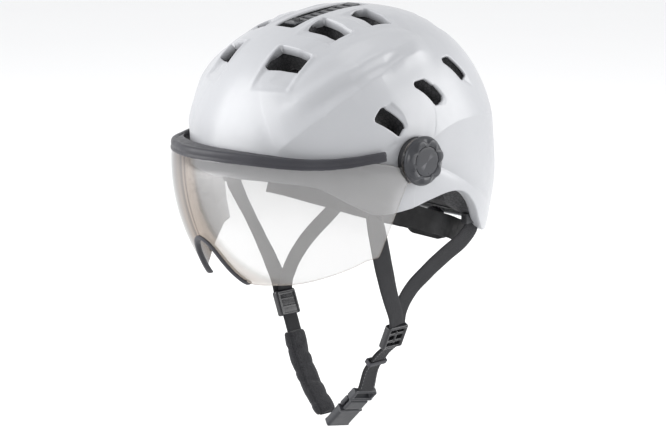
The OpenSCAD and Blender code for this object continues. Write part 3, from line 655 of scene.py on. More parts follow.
def make_materials():
    m = {}
    look = Look("pearl_white_lacquer", Coat_Weight=0.2, Coat_Roughness=0.22, Coat_IOR=1.5)
    flake = look.cells(5200)
    cloud = look.noise(14, 3)
    tone = look.blend(look.spread(cloud, 0.3, 0.7, 0, 1), (0.325, 0.33, 0.345), (0.345, 0.35, 0.365))
    look.color(look.spread(flake, 0.0, 0.5, 0.2, 0), tone, (0.5, 0.51, 0.54))
    look.rough(look.noise(160, 4), 0.3, 0.7, 0.33, 0.41)
    look.bump(look.noise(900, 2), 0.05, 0.0002)
    m["shell_skin"] = look.material

    look = Look("black_bead_foam", Roughness=0.8)
    bead = look.cells(330)
    joint = look.cells(330, "DISTANCE_TO_EDGE")
    wall = look.spread(joint, 0.0, 0.12, 0, 1)
    look.color(wall, (0.012, 0.012, 0.013), (0.04, 0.04, 0.043))
    look.rough(bead, 0, 0.7, 0.62, 0.85)
    look.bump(joint, 0.5, 0.0005)
    m["foam"] = look.material

    # Colour, paler colour on high edges, roughness, scale and depth of the grain, then coat and shine if not
    # usual
    for key, name, *values in (
        ("dark_plastic", "textured_dark_plastic", (0.018, 0.018, 0.02), (0.05, 0.05, 0.053),
         0.46, 1400, 0.0002),
        ("satin", "satin_dark_plastic", (0.026, 0.027, 0.031), (0.1, 0.1, 0.108), 0.33, 700, 0.0001, 0.06),
        ("gloss", "polished_dark_plastic", (0.016, 0.016, 0.018), (0.07, 0.07, 0.07),
         0.2, 500, 0.00005, 0.15),
        ("black", "matt_black_plastic", (0.006, 0.006, 0.0065), (0.02, 0.02, 0.021),
         0.6, 1200, 0.0001, 0, 0.12),
        ("rubber", "dark_rubber", (0.024, 0.024, 0.029), (0.06, 0.06, 0.068), 0.42, 1000, 0.0001),
    ):
        m[key] = plastic(name, *values)

    look = Look("plated_steel", Metallic=1.0, Anisotropic=0.4)
    streak = look.noise(900, 3, coords=look.coords(scale=(1, 0.06, 1)))
    look.color(streak, (0.5, 0.5, 0.52), (0.68, 0.68, 0.7))
    look.rough(streak, 0.3, 0.7, 0.22, 0.36)
    look.bump(streak, 0.1, 0.0001)
    m["metal"] = look.material

    # Woven webbing: UV runs across the strap (U, in mm) and along it (V, in mm)
    look = Look("charcoal_webbing", Sheen_Weight=0.06, Sheen_Roughness=0.5, Specular_IOR_Level=0.15)
    uv = look.node("ShaderNodeTexCoord").outputs["UV"]
    split = look.node("ShaderNodeSeparateXYZ", None, Vector=uv).outputs
    rib = look.math("SINE", look.math("MULTIPLY", split[0], 2 * math.pi / 1.5))
    phase = look.math("MULTIPLY", look.math("SIGN", rib), math.pi / 2)
    pick = look.math("SINE", look.math("ADD", look.math("MULTIPLY", split[1], 2 * math.pi / 0.9), phase))
    hump = look.math("ADD", look.math("ABSOLUTE", rib), look.math("MULTIPLY", pick, 0.45))
    fuzz = look.noise(2600, 3)
    # Painted shade: the colour follows the weave's height, darker in the hollows between its ribs and lighter
    # on their tops
    tone = look.blend(look.spread(hump, -0.2, 1.4, 0, 1), (0.012, 0.012, 0.013), (0.04, 0.04, 0.043))
    look.color(look.spread(fuzz, 0.45, 0.75, 0, 0.6), tone, (0.055, 0.055, 0.06))
    look.rough(fuzz, 0.3, 0.7, 0.7, 0.9)
    look.bump(look.math("ADD", hump, look.math("MULTIPLY", fuzz, 0.5)), 0.8, 0.0003)
    m["webbing"] = look.material

    look = Look("charcoal_fleece", Sheen_Weight=0.2, Sheen_Roughness=0.45, Specular_IOR_Level=0.3)
    nap = look.noise(1100, 5, 0.65)
    pile = look.noise(260, 4)
    shade = look.spread(nap, 0.35, 0.7, 0, 1)
    look.color(shade, (0.011, 0.011, 0.013), (0.038, 0.038, 0.042))
    look.rough(pile, 0.3, 0.7, 0.85, 0.98)
    under = look.bump(pile, 0.5, 0.0012)
    look.bump(nap, 0.7, 0.0006, under)
    m["fleece"] = look.material

    look = Look("thread", Sheen_Weight=0.3)
    twist = look.noise(4000, 2)
    look.color(twist, (0.07, 0.07, 0.075), (0.12, 0.12, 0.125))
    look.rough(twist, 0.3, 0.7, 0.55, 0.75)
    m["thread"] = look.material

    # Mirrored lens: pale silver face on, greyer and more opaque towards the top. Its colour by facing angle
    # is painted reflection: warm light and dark streaks, and a dense brown rim where it turns away, partly
    # the tint's real absorption and partly painted shade
    look = Look("mirrored_smoke_lens", Roughness=0.06, Metallic=0.75, IOR=1.58, Coat_Weight=0.2,
                Coat_Roughness=0.02)
    height = look.node("ShaderNodeSeparateXYZ", None, Vector=look.coords()).outputs[2]
    high = look.spread(height, -0.06, 0.01, 0, 1)
    glance = look.node("ShaderNodeLayerWeight", None, Blend=0.5).outputs["Facing"]
    # Painted reflections: light and dark warm streaks by facing angle, and a brown rim at a glance that is
    # partly painted shade
    painted_reflection_ramp = look.ramp(glance, (
        (0.3, (0.47, 0.465, 0.46)), (0.335, (0.3, 0.28, 0.26)), (0.36, (0.42, 0.37, 0.325)),
        (0.5, (0.38, 0.32, 0.27)), (0.53, (0.11, 0.095, 0.085)), (0.56, (0.36, 0.29, 0.235)),
        (0.6, (0.08, 0.066, 0.056)), (0.67, (0.2, 0.155, 0.12)), (0.78, (0.08, 0.06, 0.045)),
        (0.9, (0.02, 0.014, 0.011))))
    look.color(look.math("MULTIPLY", high, 0.45), painted_reflection_ramp, (0.22, 0.22, 0.23))
    uneven = look.spread(look.noise(9, 2), 0.3, 0.7, 0.27, 0.33)
    thin = look.math("ADD", look.math("MULTIPLY", high, 0.14), uneven)
    look.set("Alpha", look.math("MAXIMUM", thin, look.spread(glance, 0.3, 0.6, 0.3, 0.95)))
    look.bump(look.noise(30, 2), 0.02, 0.0003)
    m["lens"] = look.material

    look = Look("stage_white", Roughness=0.9)
    look.color(look.noise(3, 2), (0.86, 0.86, 0.86), (0.87, 0.87, 0.87))
    m["stage"] = look.material
    return m


MATERIALS = make_materials()


def dress(obj, look, body, slot, *nodes):
    """Gives a piece its material and its body, and hides the CAD nodes that it stands for."""
    obj.data.materials.clear()
    obj.data.materials.append(MATERIALS[look])
    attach(obj, body)
    if nodes:
        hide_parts(*nodes)
    return obj


# ---------------- shell and liner
# The round pocket under each knob, as (distance along the pivot's axis, radius)
CUP = [(105.5, 17.6), (105.5, 16.75), (102.8, 16.75), (102.8, 6.4), (100.8, 6.4), (100.8, 18.4)]
shell = make_shell()
cups = [lathe("cup", CUP, 0, s, 64) for _, s in SIDES]
shell = weld(join("shell_skin", shell, *cups), 1e-7)
dress(shell, "shell_skin", "helmet", "shell_skin", "outer_shell")
liner = weld(make_liner(), 1e-6)
dress(liner, "foam", "helmet", "foam", "eps_front", "eps_back")

# ---------------- visor
VISOR_SIDE, VISOR_REACH, VISOR_N = 115, 145.5, 1.8
VISOR_HALF = 112
VISOR_Y, VISOR_Z = 12, -10
EAR_R = 17.02
LIP = (112, 128, 2.0)
SEAL_EDGE = [
    [0, 10.5], [20, 10.4], [38, 9.8], [54, 8.6], [68, 7], [80, 5.9], [90, 5.8], [98, 6.9], [104, 8.8],
    [112, 11.5],
]
LENS_EDGE = [
    [0, -61], [4.5, -62.3], [9.5, -66.2], [13, -73], [15.8, -80.5], [19, -88.5], [23, -95.2], [29, -98],
    [36, -98], [44, -97.2], [56, -96.3], [66.5, -93], [76, -88.5], [84.5, -83.3], [91, -77.6],
]
LENS_SIDE = [
    [-160, 30], [0, 30], [0, -17], [-12.5, -17], [-17, -29], [-21, -46], [-23.5, -61], [-24.8, -78],
    [-24.5, -120], [-160, -120],
]


def band(t, half, reach, n):
    """Plan curve of the visor: distance from its axis, and x."""
    return reach * np.abs(np.cos(t)) ** (2 / n), half * np.sign(t) * np.abs(np.sin(t)) ** (2 / n)


def on_visor(x, z, rho):
    """The point at x and z on the front of the visor, at distance rho from its axis."""
    return np.stack([x, VISOR_Y - np.sqrt(np.maximum(rho**2 - (z - VISOR_Z) ** 2, 0)), z], -1)


def lens_point(phi, t):
    rho, x = band(t * RAD, VISOR_SIDE, VISOR_REACH, VISOR_N)
    x = np.clip(x, -VISOR_HALF, VISOR_HALF)
    return np.stack([x, VISOR_Y - rho * np.cos(phi * RAD), VISOR_Z + rho * np.sin(phi * RAD)], -1)


def seal_top(x):
    t = np.array(SEAL_EDGE)
    return np.interp(np.abs(x), t[:, 0], t[:, 1])


def rounded_path(points, turns=2):
    """Corner-cutting, so that an outline has no hard corners. The ends stay."""
    p = np.asarray(points, float)
    for _ in range(turns):
        q = [p[0]]
        for a, b in zip(p[:-1], p[1:]):
            q += [a * 0.75 + b * 0.25, a * 0.25 + b * 0.75]
        q.append(p[-1])
        p = np.array(q)
    return p


def make_lens():
    edge = rounded_path(LENS_EDGE)
    # Closed well outside the lens, above its lower edge
    far = [[125, -60], [125, 60], [-125, 60], [-125, -60]]
    outline = np.concatenate([edge, far, edge[:0:-1] * [-1, 1]])[::-1]
    edge_r, thickness = 0.9, 2.0

    def field(phi, t):
        p = lens_point(phi, t)
        left = -polygon_distance(p[..., 0], p[..., 2], outline)
        left = np.minimum(left, -polygon_distance(p[..., 1], p[..., 2], LENS_SIDE[::-1]))
        under = np.maximum(seal_top(p[..., 0]) - 6.5 - p[..., 2], np.minimum(p[..., 1] + 30, 3 - p[..., 2]))
        left = np.minimum(left, under)
        ear = np.hypot(p[..., 1], p[..., 2]) - EAR_R
        left = np.minimum(left, np.where(np.abs(p[..., 0]) > 95, ear, 99))
        return left - edge_r

    grid = clip_grid(np.arange(-64, 12.01, 0.8), np.arange(-85, 85.01, 0.5), field)
    uv = grid[0]
    n, g = frame_on(uv, lens_point, field)
    n = np.where((n[:, 0:1] * uv[:, 1:2] + n[:, 1:2] * -50) < 0, -n, n)
    outer = lens_point(uv[:, 0], uv[:, 1])

    def rings(ids):
        return rounding(outer[ids], g[ids], n[ids], edge_r, thickness / 2, (30, 60, 90, 120, 150))

    lens = solid_patch("lens_skin", grid, outer, outer - n * thickness, rings)
    ear = [(110, 17), (110.4, 17), (112, 17), (112, 9.1), (110, 9.1)]
    ears = [lathe("ear", ear, 0, s, 72) for _, s in SIDES]
    return weld(join("lens_skin", lens, *ears), 1e-7)


def make_seal():
    # Profile as (inset from the lens's face, share of the way to the lip, depth below the top edge)
    profile = [
        (0.6, 0, 8.0), (-0.1, 0, 8.0), (-0.1, 0, 6.4), (-2.1, 0, 6.4), (-2.1, 0, 8.0), (-3.2, 0, 7.8),
        (-3.4, 0, 7.2), (-3.4, 0, 4.0), (-3.6, 0.05, 3.1), (-3.6, 0.15, 2.7), (-3.4, 0.4, 2.6),
        (-3.4, 0.7, 2.6), (-3.4, 0.93, 2.6), (-3.4, 0.985, 2.3), (-3.4, 1.0, 1.7), (-3.4, 0.985, 1.1),
        (-3.4, 0.93, 0.9), (-3.4, 0.7, 1.1), (-3.4, 0.4, 1.35), (-3.4, 0.2, 1.45), (-3.4, 0.08, 1.2),
        (-3.0, 0.0, 0.55), (-2.3, 0, 0.15), (-1.5, 0, 0.0), (-0.6, 0, 0.15), (0.1, 0, 0.7),
        (0.55, 0, 1.6), (0.7, 0, 2.8), (0.6, 0, 4.2), (0.3, 0, 5.0), (0.3, 0, 5.6), (0.65, 0, 6.3),
        (0.7, 0, 7.2),
    ]
    stations = np.linspace(-1, 1, 221)
    rows = []
    for inset, share, drop in profile:
        half = (VISOR_SIDE + inset) * (1 - share) + LIP[0] * share
        reach = (VISOR_REACH + inset) * (1 - share) + LIP[1] * share
        n = VISOR_N * (1 - share) + LIP[2] * share

        def at(t):
            rho, x = band(t, half, reach, n)
            x = np.clip(x, -VISOR_HALF - 0.4, VISOR_HALF + 0.4)
            return on_visor(x, seal_top(x) - drop, rho)

        low, high = 0.5, 1.5
        for _ in range(40):
            mid = (low + high) / 2
            low, high = (mid, high) if at(np.array(mid))[1] < -30.2 else (low, mid)
        rows.append(at(stations * low))
    rings = np.stack(rows, 1)
    for end, step in ((0, 1), (-1, -1)):
        # The ends are rounded off
        away = rings[end] - rings[end + step]
        away /= np.linalg.norm(away, axis=1)[:, None]
        middle = rings[end].mean(0)
        extra = [middle + (rings[end] - middle) * k + away * d for k, d in ((0.93, 0.35), (0.8, 0.6))]
        rings = np.concatenate([extra[::-1], rings]) if end == 0 else np.concatenate([rings, extra])
    return sweep("seal_lip", rings, 50)


def oval(count, wide, high):
    """Points round a unit circle with its x and y raised to two powers, which makes it squarer."""
    ring = []
    for a in np.linspace(0, 2 * math.pi, count, endpoint=False):
        c, s = math.cos(a), math.sin(a)
        ring.append((np.sign(c) * abs(c) ** wide, np.sign(s) * abs(s) ** high))
    return ring


def on_lens(x, z, inset):
    """The point of the visor's surface at a place seen from the front."""
    half, reach = VISOR_SIDE + inset, VISOR_REACH + inset
    t = np.sign(x) * np.arcsin(np.clip((np.abs(x) / half) ** (VISOR_N / 2), 0, 1))
    return on_visor(x, z, reach * np.cos(t) ** (2 / VISOR_N))


def make_trim():
    edge = rounded_path([p for p in LENS_EDGE if p[0] < 24] + [[25.3, -96.4]], 3)
    flat = np.concatenate([edge[:0:-1] * [-1, 1], edge])
    tangent = np.gradient(flat, axis=0)
    tangent /= np.linalg.norm(tangent, axis=1)[:, None]
    inward = np.stack([tangent[:, 1], -tangent[:, 0]], -1)
    half_width, half_depth, sunk = 2.1, 2.3, 1.0
    sections = []
    for i, (p, side) in enumerate(zip(flat, inward)):
        fade = min(1, (min(i, len(flat) - 1 - i) + 1.5) / 4)
        sections.append([on_lens(*(p + side * (half_width * fade * x)), half_depth * fade * y - sunk)
                         for x, y in oval(20, 0.75, 0.75)])
    return sweep("nose_edging", sections)


dress(make_lens(), "lens", "visor", "lens", "visor_lens")
dress(make_seal(), "rubber", "visor", "rubber", "visor_seal")
dress(make_trim(), "rubber", "visor", "rubber", "nose_trim")

# ---------------- pivot knobs
KNOB_X = 114.1
LOBES = 7
# Both as (distance along the axis, radius)
KNOB_PROFILE = [
    (0, 6), (0, 18.3), (0.4, 18.9), (1.2, 19), (2.1, 18.95), (2.6, 18.7), (2.9, 18.3), (3.1, 18.15),
    (3.6, 18.1), (4.3, 18.0), (5.0, 17.85), (5.5, 17.6), (5.9, 17.3), (6.2, 16.7), (6.35, 15.8),
    (6.4, 14.4), (6.3, 13.4), (6.1, 12.6), (6.0, 12), (5.6, 11.7), (5.0, 11.6), (5.0, 6),
]
KNOB_FACE = [
    (4.4, 0.02), (4.4, 11.4), (5.7, 11.45), (5.95, 11.2), (6.05, 10.6), (6.1, 8.5), (6.15, 5), (6.2, 0.02),
]


def scallop(angle, along, radius):
    if radius < 13.5 or along < 3.2:
        return 0
    turn = (angle * LOBES / (2 * math.pi) + 0.5) % 1 - 0.5
    return 3.4 * math.exp(-(turn / 0.24) ** 2) * smooth(3.2, 5.8, along)


for name, s in SIDES:
    knob = lathe("knob_grip_" + name, KNOB_PROFILE, s * KNOB_X, s, 210, scallop, 60)
    dress(knob, "satin", "knob_" + name, "satin_dark_plastic", "knob_" + name)
    cap = lathe("knob_face_" + name, KNOB_FACE, s * KNOB_X, s, 120)
    dress(cap, "satin", "knob_" + name, "satin_dark_plastic", "knob_cap_" + name)

# ---------------- straps
FRONT_STRAP = [
    [87, -24, -42.5], [86.8, -23.6, -46], [83, -15, -67], [78, -5, -91], [74.6, 4.5, -114],
    [73.6, 11, -130], [72.9, 13, -140],
]
FRONT_ACROSS = [
    [0, 1, 0], [0.05, 1, 0], [0.3, 0.95, 0.1], [0.3, 0.93, 0.2], [0.1, 0.95, 0.2], [0, 1, 0.1], [0, 1, 0],
]
REAR_STRAP = [
    [79, 88, -66.8], [79, 87.9, -69], [79, 86.8, -72], [79, 77, -80], [77, 59, -90.5], [75, 43, -101],
    [72.5, 28, -114], [71.2, 18.5, -129], [70.9, 16.5, -140],
]
REAR_ACROSS = [
    [0, 1, 0], [0, 1, 0], [0, 1, -0.3], [0, 0.75, -0.65], [0, 0.65, -0.75], [0, 0.7, -0.7], [0, 0.8, -0.6],
    [0, 1, -0.15], [0, 1, 0],
]
LOWER_STRAP = [[62.8, 15, -159.8], [53, 15, -168.5], [41, 15, -184], [35.6, 15, -199.5], [33.6, 15, -204]]
LOWER_ACROSS = [[0, 1, 0], [0, 1, 0], [0, 1, -0.1], [0.1, 1, -0.2], [0.1, 1, -0.2]]
CHIN_STRAP = [[-63.2, 15, -159.2], [-57.5, 15, -172], [-50, 15, -192], [-36, 15, -213], [-14, 15, -235]]
WEB_W, WEB_T = 15, 1.6
# The lower strap is doubled: each ply's thickness, and its distance from the middle
PLY_T, PLY_SHIFT = 1.3, 0.8
STRAP_STEPS = 14
STITCH, STITCH_GAP, STITCH_INSET = 2.3, 1.1, 0.6
# A stitch's radius, by the share of its length
STITCH_FORM = ((0, 0.05), (0.12, 0.2), (0.5, 0.27), (0.88, 0.2), (1, 0.05))


def resample(points, steps):
    p = np.asarray(points, float)
    out = []
    for i in range(len(p) - 1):
        a, b, c, d = p[max(i - 1, 0)], p[i], p[i + 1], p[min(i + 2, len(p) - 1)]
        for k in range(steps):
            u = k / steps
            bend, twist = 2 * a - 5 * b + 4 * c - d, 3 * b - a - 3 * c + d
            out.append(0.5 * (2 * b + (c - a) * u + bend * u**2 + twist * u**3))
    return np.array(out + [p[-1]])


def strip_axes(points, across, steps):
    """A strap's middle line at close steps, with the directions across it and out of its face."""
    path, across = resample(points, steps), resample(across, steps)
    run = np.gradient(path, axis=0)
    run /= np.linalg.norm(run, axis=1)[:, None]
    side = across - run * (across * run).sum(1)[:, None]
    side /= np.linalg.norm(side, axis=1)[:, None]
    return path, side, np.cross(run, side)


def distances(path):
    """How far along a path each of its points is."""
    return np.concatenate([[0], np.cumsum(np.linalg.norm(np.diff(path, axis=0), axis=1))])


def ribbon(name, points, across, thick, mirror, shift=0.0):
    """Flat webbing with rolled edges. UV holds millimetres across and along it."""
    path, side, out = strip_axes(points, across, STRAP_STEPS)
    along = distances(path)
    columns = 10
    top = [-1 + 2 * j / columns for j in range(columns + 1)]
    top = [(x * 0.975, 1.0 - 0.55 * abs(x) ** 8) for x in top]
    outline = top + [(1.0, 0.0)] + [(x, -y) for x, y in reversed(top)] + [(-1.0, 0.0)]
    # A single ply is slightly wavy
    wave = 0.12 * np.sin(along / 7.3) + 0.08 * np.sin(along / 3.1 + 1)
    sections = [
        [p + s * (x * WEB_W / 2) + o * (y * thick / 2 + w + shift) for x, y in outline]
        for p, s, o, w in zip(path, side, out, wave * (thick < 2))
    ]
    sections = np.array(sections) * [mirror, 1, 1]
    obj = sweep(name, sections, 60)
    count = len(outline)
    uv = obj.data.uv_layers.new(name="UVMap")
    flat = sections.reshape(-1, 3) * MM
    tree = KDTree(len(flat))
    for i, p in enumerate(flat):
        tree.insert(p, i)
    tree.balance()
    spot = {}
    for v in obj.data.vertices:
        i = tree.find(v.co)[1]
        spot[v.index] = (outline[i % count][0] * WEB_W / 2, along[i // count])
    for loop in obj.data.loops:
        uv.data[loop.index].uv = spot[loop.vertex_index]
    return obj


def stitches(name, points, across, offset, mirror, lift, last=1e9):
    """Two rows of thread stitches lying on a strap, as far along it as last."""
    path, side, out = strip_axes(points, across, STRAP_STEPS)
    along = distances(path)
    verts, faces = [], []

    def at(field, s):
        return np.array([np.interp(s, along, field[:, k]) for k in range(3)])

    for row in (-offset, offset):
        s = STITCH_INSET
        while s + STITCH < min(last, along[-1] - STITCH_INSET):
            faces += tube_faces(len(STITCH_FORM), 6, len(verts))
            for share, r in STITCH_FORM:
                here = s + STITCH * share
                centre = at(path, here) + at(side, here) * row + at(out, here) * lift
                for k in range(6):
                    a = k * math.pi / 3
                    p = centre + at(side, here) * r * math.cos(a) + at(out, here) * r * math.sin(a)
                    verts.append(p * [mirror, 1, 1])
            s += STITCH + STITCH_GAP
    return weld(mesh_object(name, verts, faces, 60), 1e-7)


for name, s in SIDES:
    for end, route, across in (("front", FRONT_STRAP, FRONT_ACROSS), ("rear", REAR_STRAP, REAR_ACROSS)):
        strap = ribbon(f"{end}_webbing_{name}", route, across, WEB_T, s)
        dress(strap, "webbing", "helmet", "webbing", f"{end}_strap_{name}")
    seam = stitches("front_stitching_" + name, FRONT_STRAP, FRONT_ACROSS, 5.6, s, 0.95, last=30)
    dress(seam, "thread", "helmet", "webbing")
inner_ply = ribbon("lower_webbing_inner", LOWER_STRAP, LOWER_ACROSS, PLY_T, 1, shift=-PLY_SHIFT)
outer_ply = ribbon("lower_webbing_outer", LOWER_STRAP, LOWER_ACROSS, PLY_T, 1, shift=PLY_SHIFT)
dress(inner_ply, "webbing", "helmet", "webbing")
dress(outer_ply, "webbing", "helmet", "webbing", "lower_strap_left")
seam = stitches("lower_stitching", LOWER_STRAP, LOWER_ACROSS, 5.8, 1, 1.65)
dress(seam, "thread", "helmet", "webbing")
CHIN_ACROSS = [[0, 1, 0]] * len(CHIN_STRAP)
chin = ribbon("chin_webbing", CHIN_STRAP, CHIN_ACROSS, WEB_T, 1)
dress(chin, "webbing", "helmet", "webbing", "lower_strap_right")


# ---------------- moulded strap parts, grown together from bars
def block(size, centre, radius):
    """A box with rounded edges, as (points, faces), to be fused with others."""
    bm = bmesh.new()
    bmesh.ops.create_cube(bm, size=1)
    for v in bm.verts:
        v.co = Vector([v.co[i] * size[i] for i in range(3)])
    bmesh.ops.bevel(bm, geom=bm.edges[:], offset=radius, segments=3, profile=0.5, affect="EDGES")
    verts = np.array([v.co[:] for v in bm.verts])
    faces = [[v.index for v in f.verts] for f in bm.faces]
    bm.free()
    return verts + np.asarray(centre, float), faces


def fuse(name, blocks, voxel, place, soften=4):
    """Blocks grown together into one moulding with soft inner corners."""
    verts, faces, base = [], [], 0
    for v, f in blocks:
        verts.append(v)
        faces += [[k + base for k in face] for face in f]
        base += len(v)
    obj = mesh_object(name, np.concatenate(verts), faces)
    add_remesh(obj, voxel)
    relax = obj.modifiers.new("soften", "SMOOTH")
    relax.iterations = soften
    relax.factor = 0.5
    apply_modifiers(obj)
    return move_points(obj, place(points_of(obj) / MM) * MM)


def turn(axis, degrees):
    """The matrix of a turn about x or y."""
    a = degrees * RAD
    c, s = math.cos(a), math.sin(a)
    if axis == "x":
        return np.array([[1, 0, 0], [0, c, -s], [0, s, c]])
    return np.array([[c, 0, s], [0, 1, 0], [-s, 0, c]])


def divider_blocks():
    made = [block((6.4, 3.4, 21.4), (0, y, 0), 1.5) for y in (-8.8, 8.8)]
    for z, high, deep in ((9.4, 3.0, 6.8), (3.4, 2.6, 5.6), (-3.4, 2.6, 5.6), (-9.6, 2.6, 5.6)):
        made.append(block((deep, 19.5, high), (0, 0, z), 1.2))
    made.append(block((4.4, 2.2, 12), (0.4, 0, 0), 0.9))
    made.append(block((1.4, 17, 18), (-2.0, 0, -0.5), 0.6))
    return made


DIVIDER = np.array([67.5, 15, -150])
for name, s in SIDES:
    def place(p, s=s):
        return (p @ turn("y", 24).T + DIVIDER) * [s, 1, 1]

    piece = fuse("strap_divider_" + name, divider_blocks(), 0.42, place)
    if s < 0:
        piece.data.flip_normals()
    dress(piece, "gloss", "helmet", "dark_plastic", "divider_" + name)

BUCKLE = np.array([15.5, 15, -221.5])
BUCKLE_TURN = turn("y", -45) @ turn("x", -12)


def at_buckle(p):
    return p @ BUCKLE_TURN.T + BUCKLE


base = [block((26, 21.6, 7.6), (-12.8, 0, -0.5), 2.2), block((12.6, 17.6, 3.2), (7.4, 0, -2.7), 1.0),
        block((3, 21.8, 7.8), (-24.2, 0, -0.6), 1.4), block((2, 21.9, 7.9), (-1.2, 0, -0.5), 0.8)]
for y in (-9.4, 9.4):
    base.append(block((11, 2.4, 2.0), (-8.5, y * 0.86, 3.1), 0.8))
piece = fuse("buckle_body", base, 0.5, at_buckle, 3)
dress(piece, "satin", "helmet", "satin_dark_plastic", "buckle_base")
clip = [block((12, 21.6, 3.8), (7.6, 0, 1.5), 1.5), block((3.4, 21.8, 7.8), (16.2, 0, -0.5), 1.5),
        block((2.8, 21.8, 5.0), (25.0, 0, -0.2), 1.3), block((11, 2.9, 7.0), (20.5, 9.5, -0.4), 1.3),
        block((11, 2.9, 7.0), (20.5, -9.5, -0.4), 1.3), block((9, 15, 1.2), (8, 0, 3.1), 0.5)]
piece = fuse("buckle_tongue", clip, 0.5, at_buckle, 3)
dress(piece, "satin", "helmet", "satin_dark_plastic", "buckle_clip")
slider = [block((11, 12, 2.0), (-7.1, 0, 2.6), 0.7)]
slider += [block((1.5, 10.5, 1.2), (-10.6 + 2.6 * k, 0, 3.5), 0.45) for k in range(4)]
piece = fuse("release_slider", slider, 0.32, at_buckle, 2)
dress(piece, "dark_plastic", "release", "satin_dark_plastic", "release_tab")

keeper_turn = turn("y", -52)
loop = [block((4.6, 1.8, 6.6), (0, y, 0), 0.7) for y in (-8.5, 8.5)]
loop += [block((4.6, 18.6, 1.5), (0, 0, z), 0.6) for z in (-2.7, 2.7)]
piece = fuse("webbing_keeper", loop, 0.4, lambda p: p @ keeper_turn.T + [46.8, 15, -175.6], 2)
dress(piece, "rubber", "helmet", "rubber", "strap_keeper")


# ---------------- padding
AIR_PRESSURE = 5
AIR_FRAMES = 14


def swell(obj, voxel, cap):
    """Fills a soft piece with air by cloth simulation, then limits how far any point may have moved."""
    add_remesh(obj, voxel)
    apply_modifiers(obj)
    rest = points_of(obj)
    cloth = obj.modifiers.new("air", "CLOTH")
    cloth.settings.use_pressure = True
    cloth.settings.uniform_pressure_force = AIR_PRESSURE
    cloth.settings.effector_weights.gravity = 0
    cloth.settings.tension_stiffness = 30
    cloth.settings.compression_stiffness = 30
    cloth.settings.bending_stiffness = 0.6
    cloth.point_cache.frame_start = 1
    cloth.point_cache.frame_end = AIR_FRAMES
    for frame_number in range(1, AIR_FRAMES + 1):
        scene.frame_set(frame_number)
    graph = bpy.context.evaluated_depsgraph_get()
    moved = np.array([v.co[:] for v in obj.evaluated_get(graph).data.vertices])
    obj.modifiers.clear()
    scene.frame_set(1)
    step = moved - rest
    size = np.linalg.norm(step, axis=1)
    rest = rest + step * np.minimum(1, cap * MM / np.maximum(size, 1e-9))[:, None]
    obj.data.vertices.foreach_set("co", rest.ravel())
    subdivision = obj.modifiers.new("fine", "SUBSURF")
    subdivision.levels = subdivision.render_levels = 1
    apply_modifiers(obj)
    obj.data.shade_smooth()
    return obj


def press_in(obj, depth):
    """Moves every point along its normal by depth(points, normals), both in millimetres."""
    co = points_of(obj) / MM
    no = np.array([v.normal[:] for v in obj.data.vertices])
    return move_points(obj, (co + no * depth(co, no)[:, None]) * MM)


def along_path(co, path):
    """For each point: the nearest place on a path, in millimetres from its start."""
    lengths = distances(path)
    best = np.full(len(co), 1e9)
    where = np.zeros(len(co))
    for a, b, start, end in zip(path[:-1], path[1:], lengths[:-1], lengths[1:]):
        e = b - a
        t = np.clip(((co - a) @ e) / (e @ e), 0, 1)
        d = np.linalg.norm(co - a - t[:, None] * e, axis=1)
        nearer = d < best
        best = np.where(nearer, d, best)
        where = np.where(nearer, start + t * (end - start), where)
    return where, lengths[-1]


def make_chin_sleeve():
    half_width, half_thick, room = 11.75, 4.3, 0.8
    path, side, out = strip_axes(CHIN_STRAP[1:], CHIN_ACROSS[1:], 10)
    sections = []
    for i, (p, s, o) in enumerate(zip(path, side, out)):
        # It starts smaller all round by the room that it has to swell, and tapers at its ends
        k = (0.8, 0.93, 1.0)[min(i, len(path) - 1 - i, 2)]
        sections.append([p + s * (x * (half_width - room) * k) + o * (y * (half_thick - room) * k)
                         for x, y in oval(28, 0.7, 0.8)])
    sleeve = sweep("chin_sleeve", sections)
    swell(sleeve, 1.5, 1.6)

    def depth(co, _):
        s, total = along_path(co, path)
        y = co[:, 1] - 15
        fold = np.zeros(len(co))
        # Soft cross creases, deeper where the sleeve bends, none of them quite straight across
        for at, size, lean, width in ((22, 0.8, 0.32, 2.1), (41, 0.45, -0.2, 1.6), (58, 0.95, 0.24, 2.2),
                                      (79, 0.6, -0.3, 1.8)):
            off = s - at * total / 97 - lean * y
            fold -= size * np.exp(-(off / width) ** 2) * (0.45 + 0.55 * np.sin(y / 6 + at) ** 2)
        # Seam along one edge, where the sleeve's layers meet
        seam = np.exp(-((y + 7.2) / 0.7) ** 2)
        ends = np.exp(-(np.minimum(s, total - s) / 1.6) ** 2)
        piping = np.exp(-((y + 8.8) / 1.0) ** 2)
        return fold - 0.7 * seam + 0.3 * piping - 0.5 * ends + 0.18 * np.sin(s / 2.3 + y / 3)

    return press_in(sleeve, depth)


sleeve = make_chin_sleeve()
dress(sleeve, "fleece", "helmet", "padding", "chin_pad")

# The head ring: tilt in degrees, middle, half width and half length, and the brow pad's height on it
RING_TILT = 17
RING_Y = 13
RING_RADII = (72.8, 85.8)
BROW_LIFT = -31


def ring_point(azimuth, lift, inset):
    """A point of the head ring's tilted plane."""
    a = azimuth * RAD
    side, front = RING_RADII
    p = [(side - inset) * math.sin(a), RING_Y - (front - inset) * math.cos(a), lift]
    return turn("x", -RING_TILT) @ p


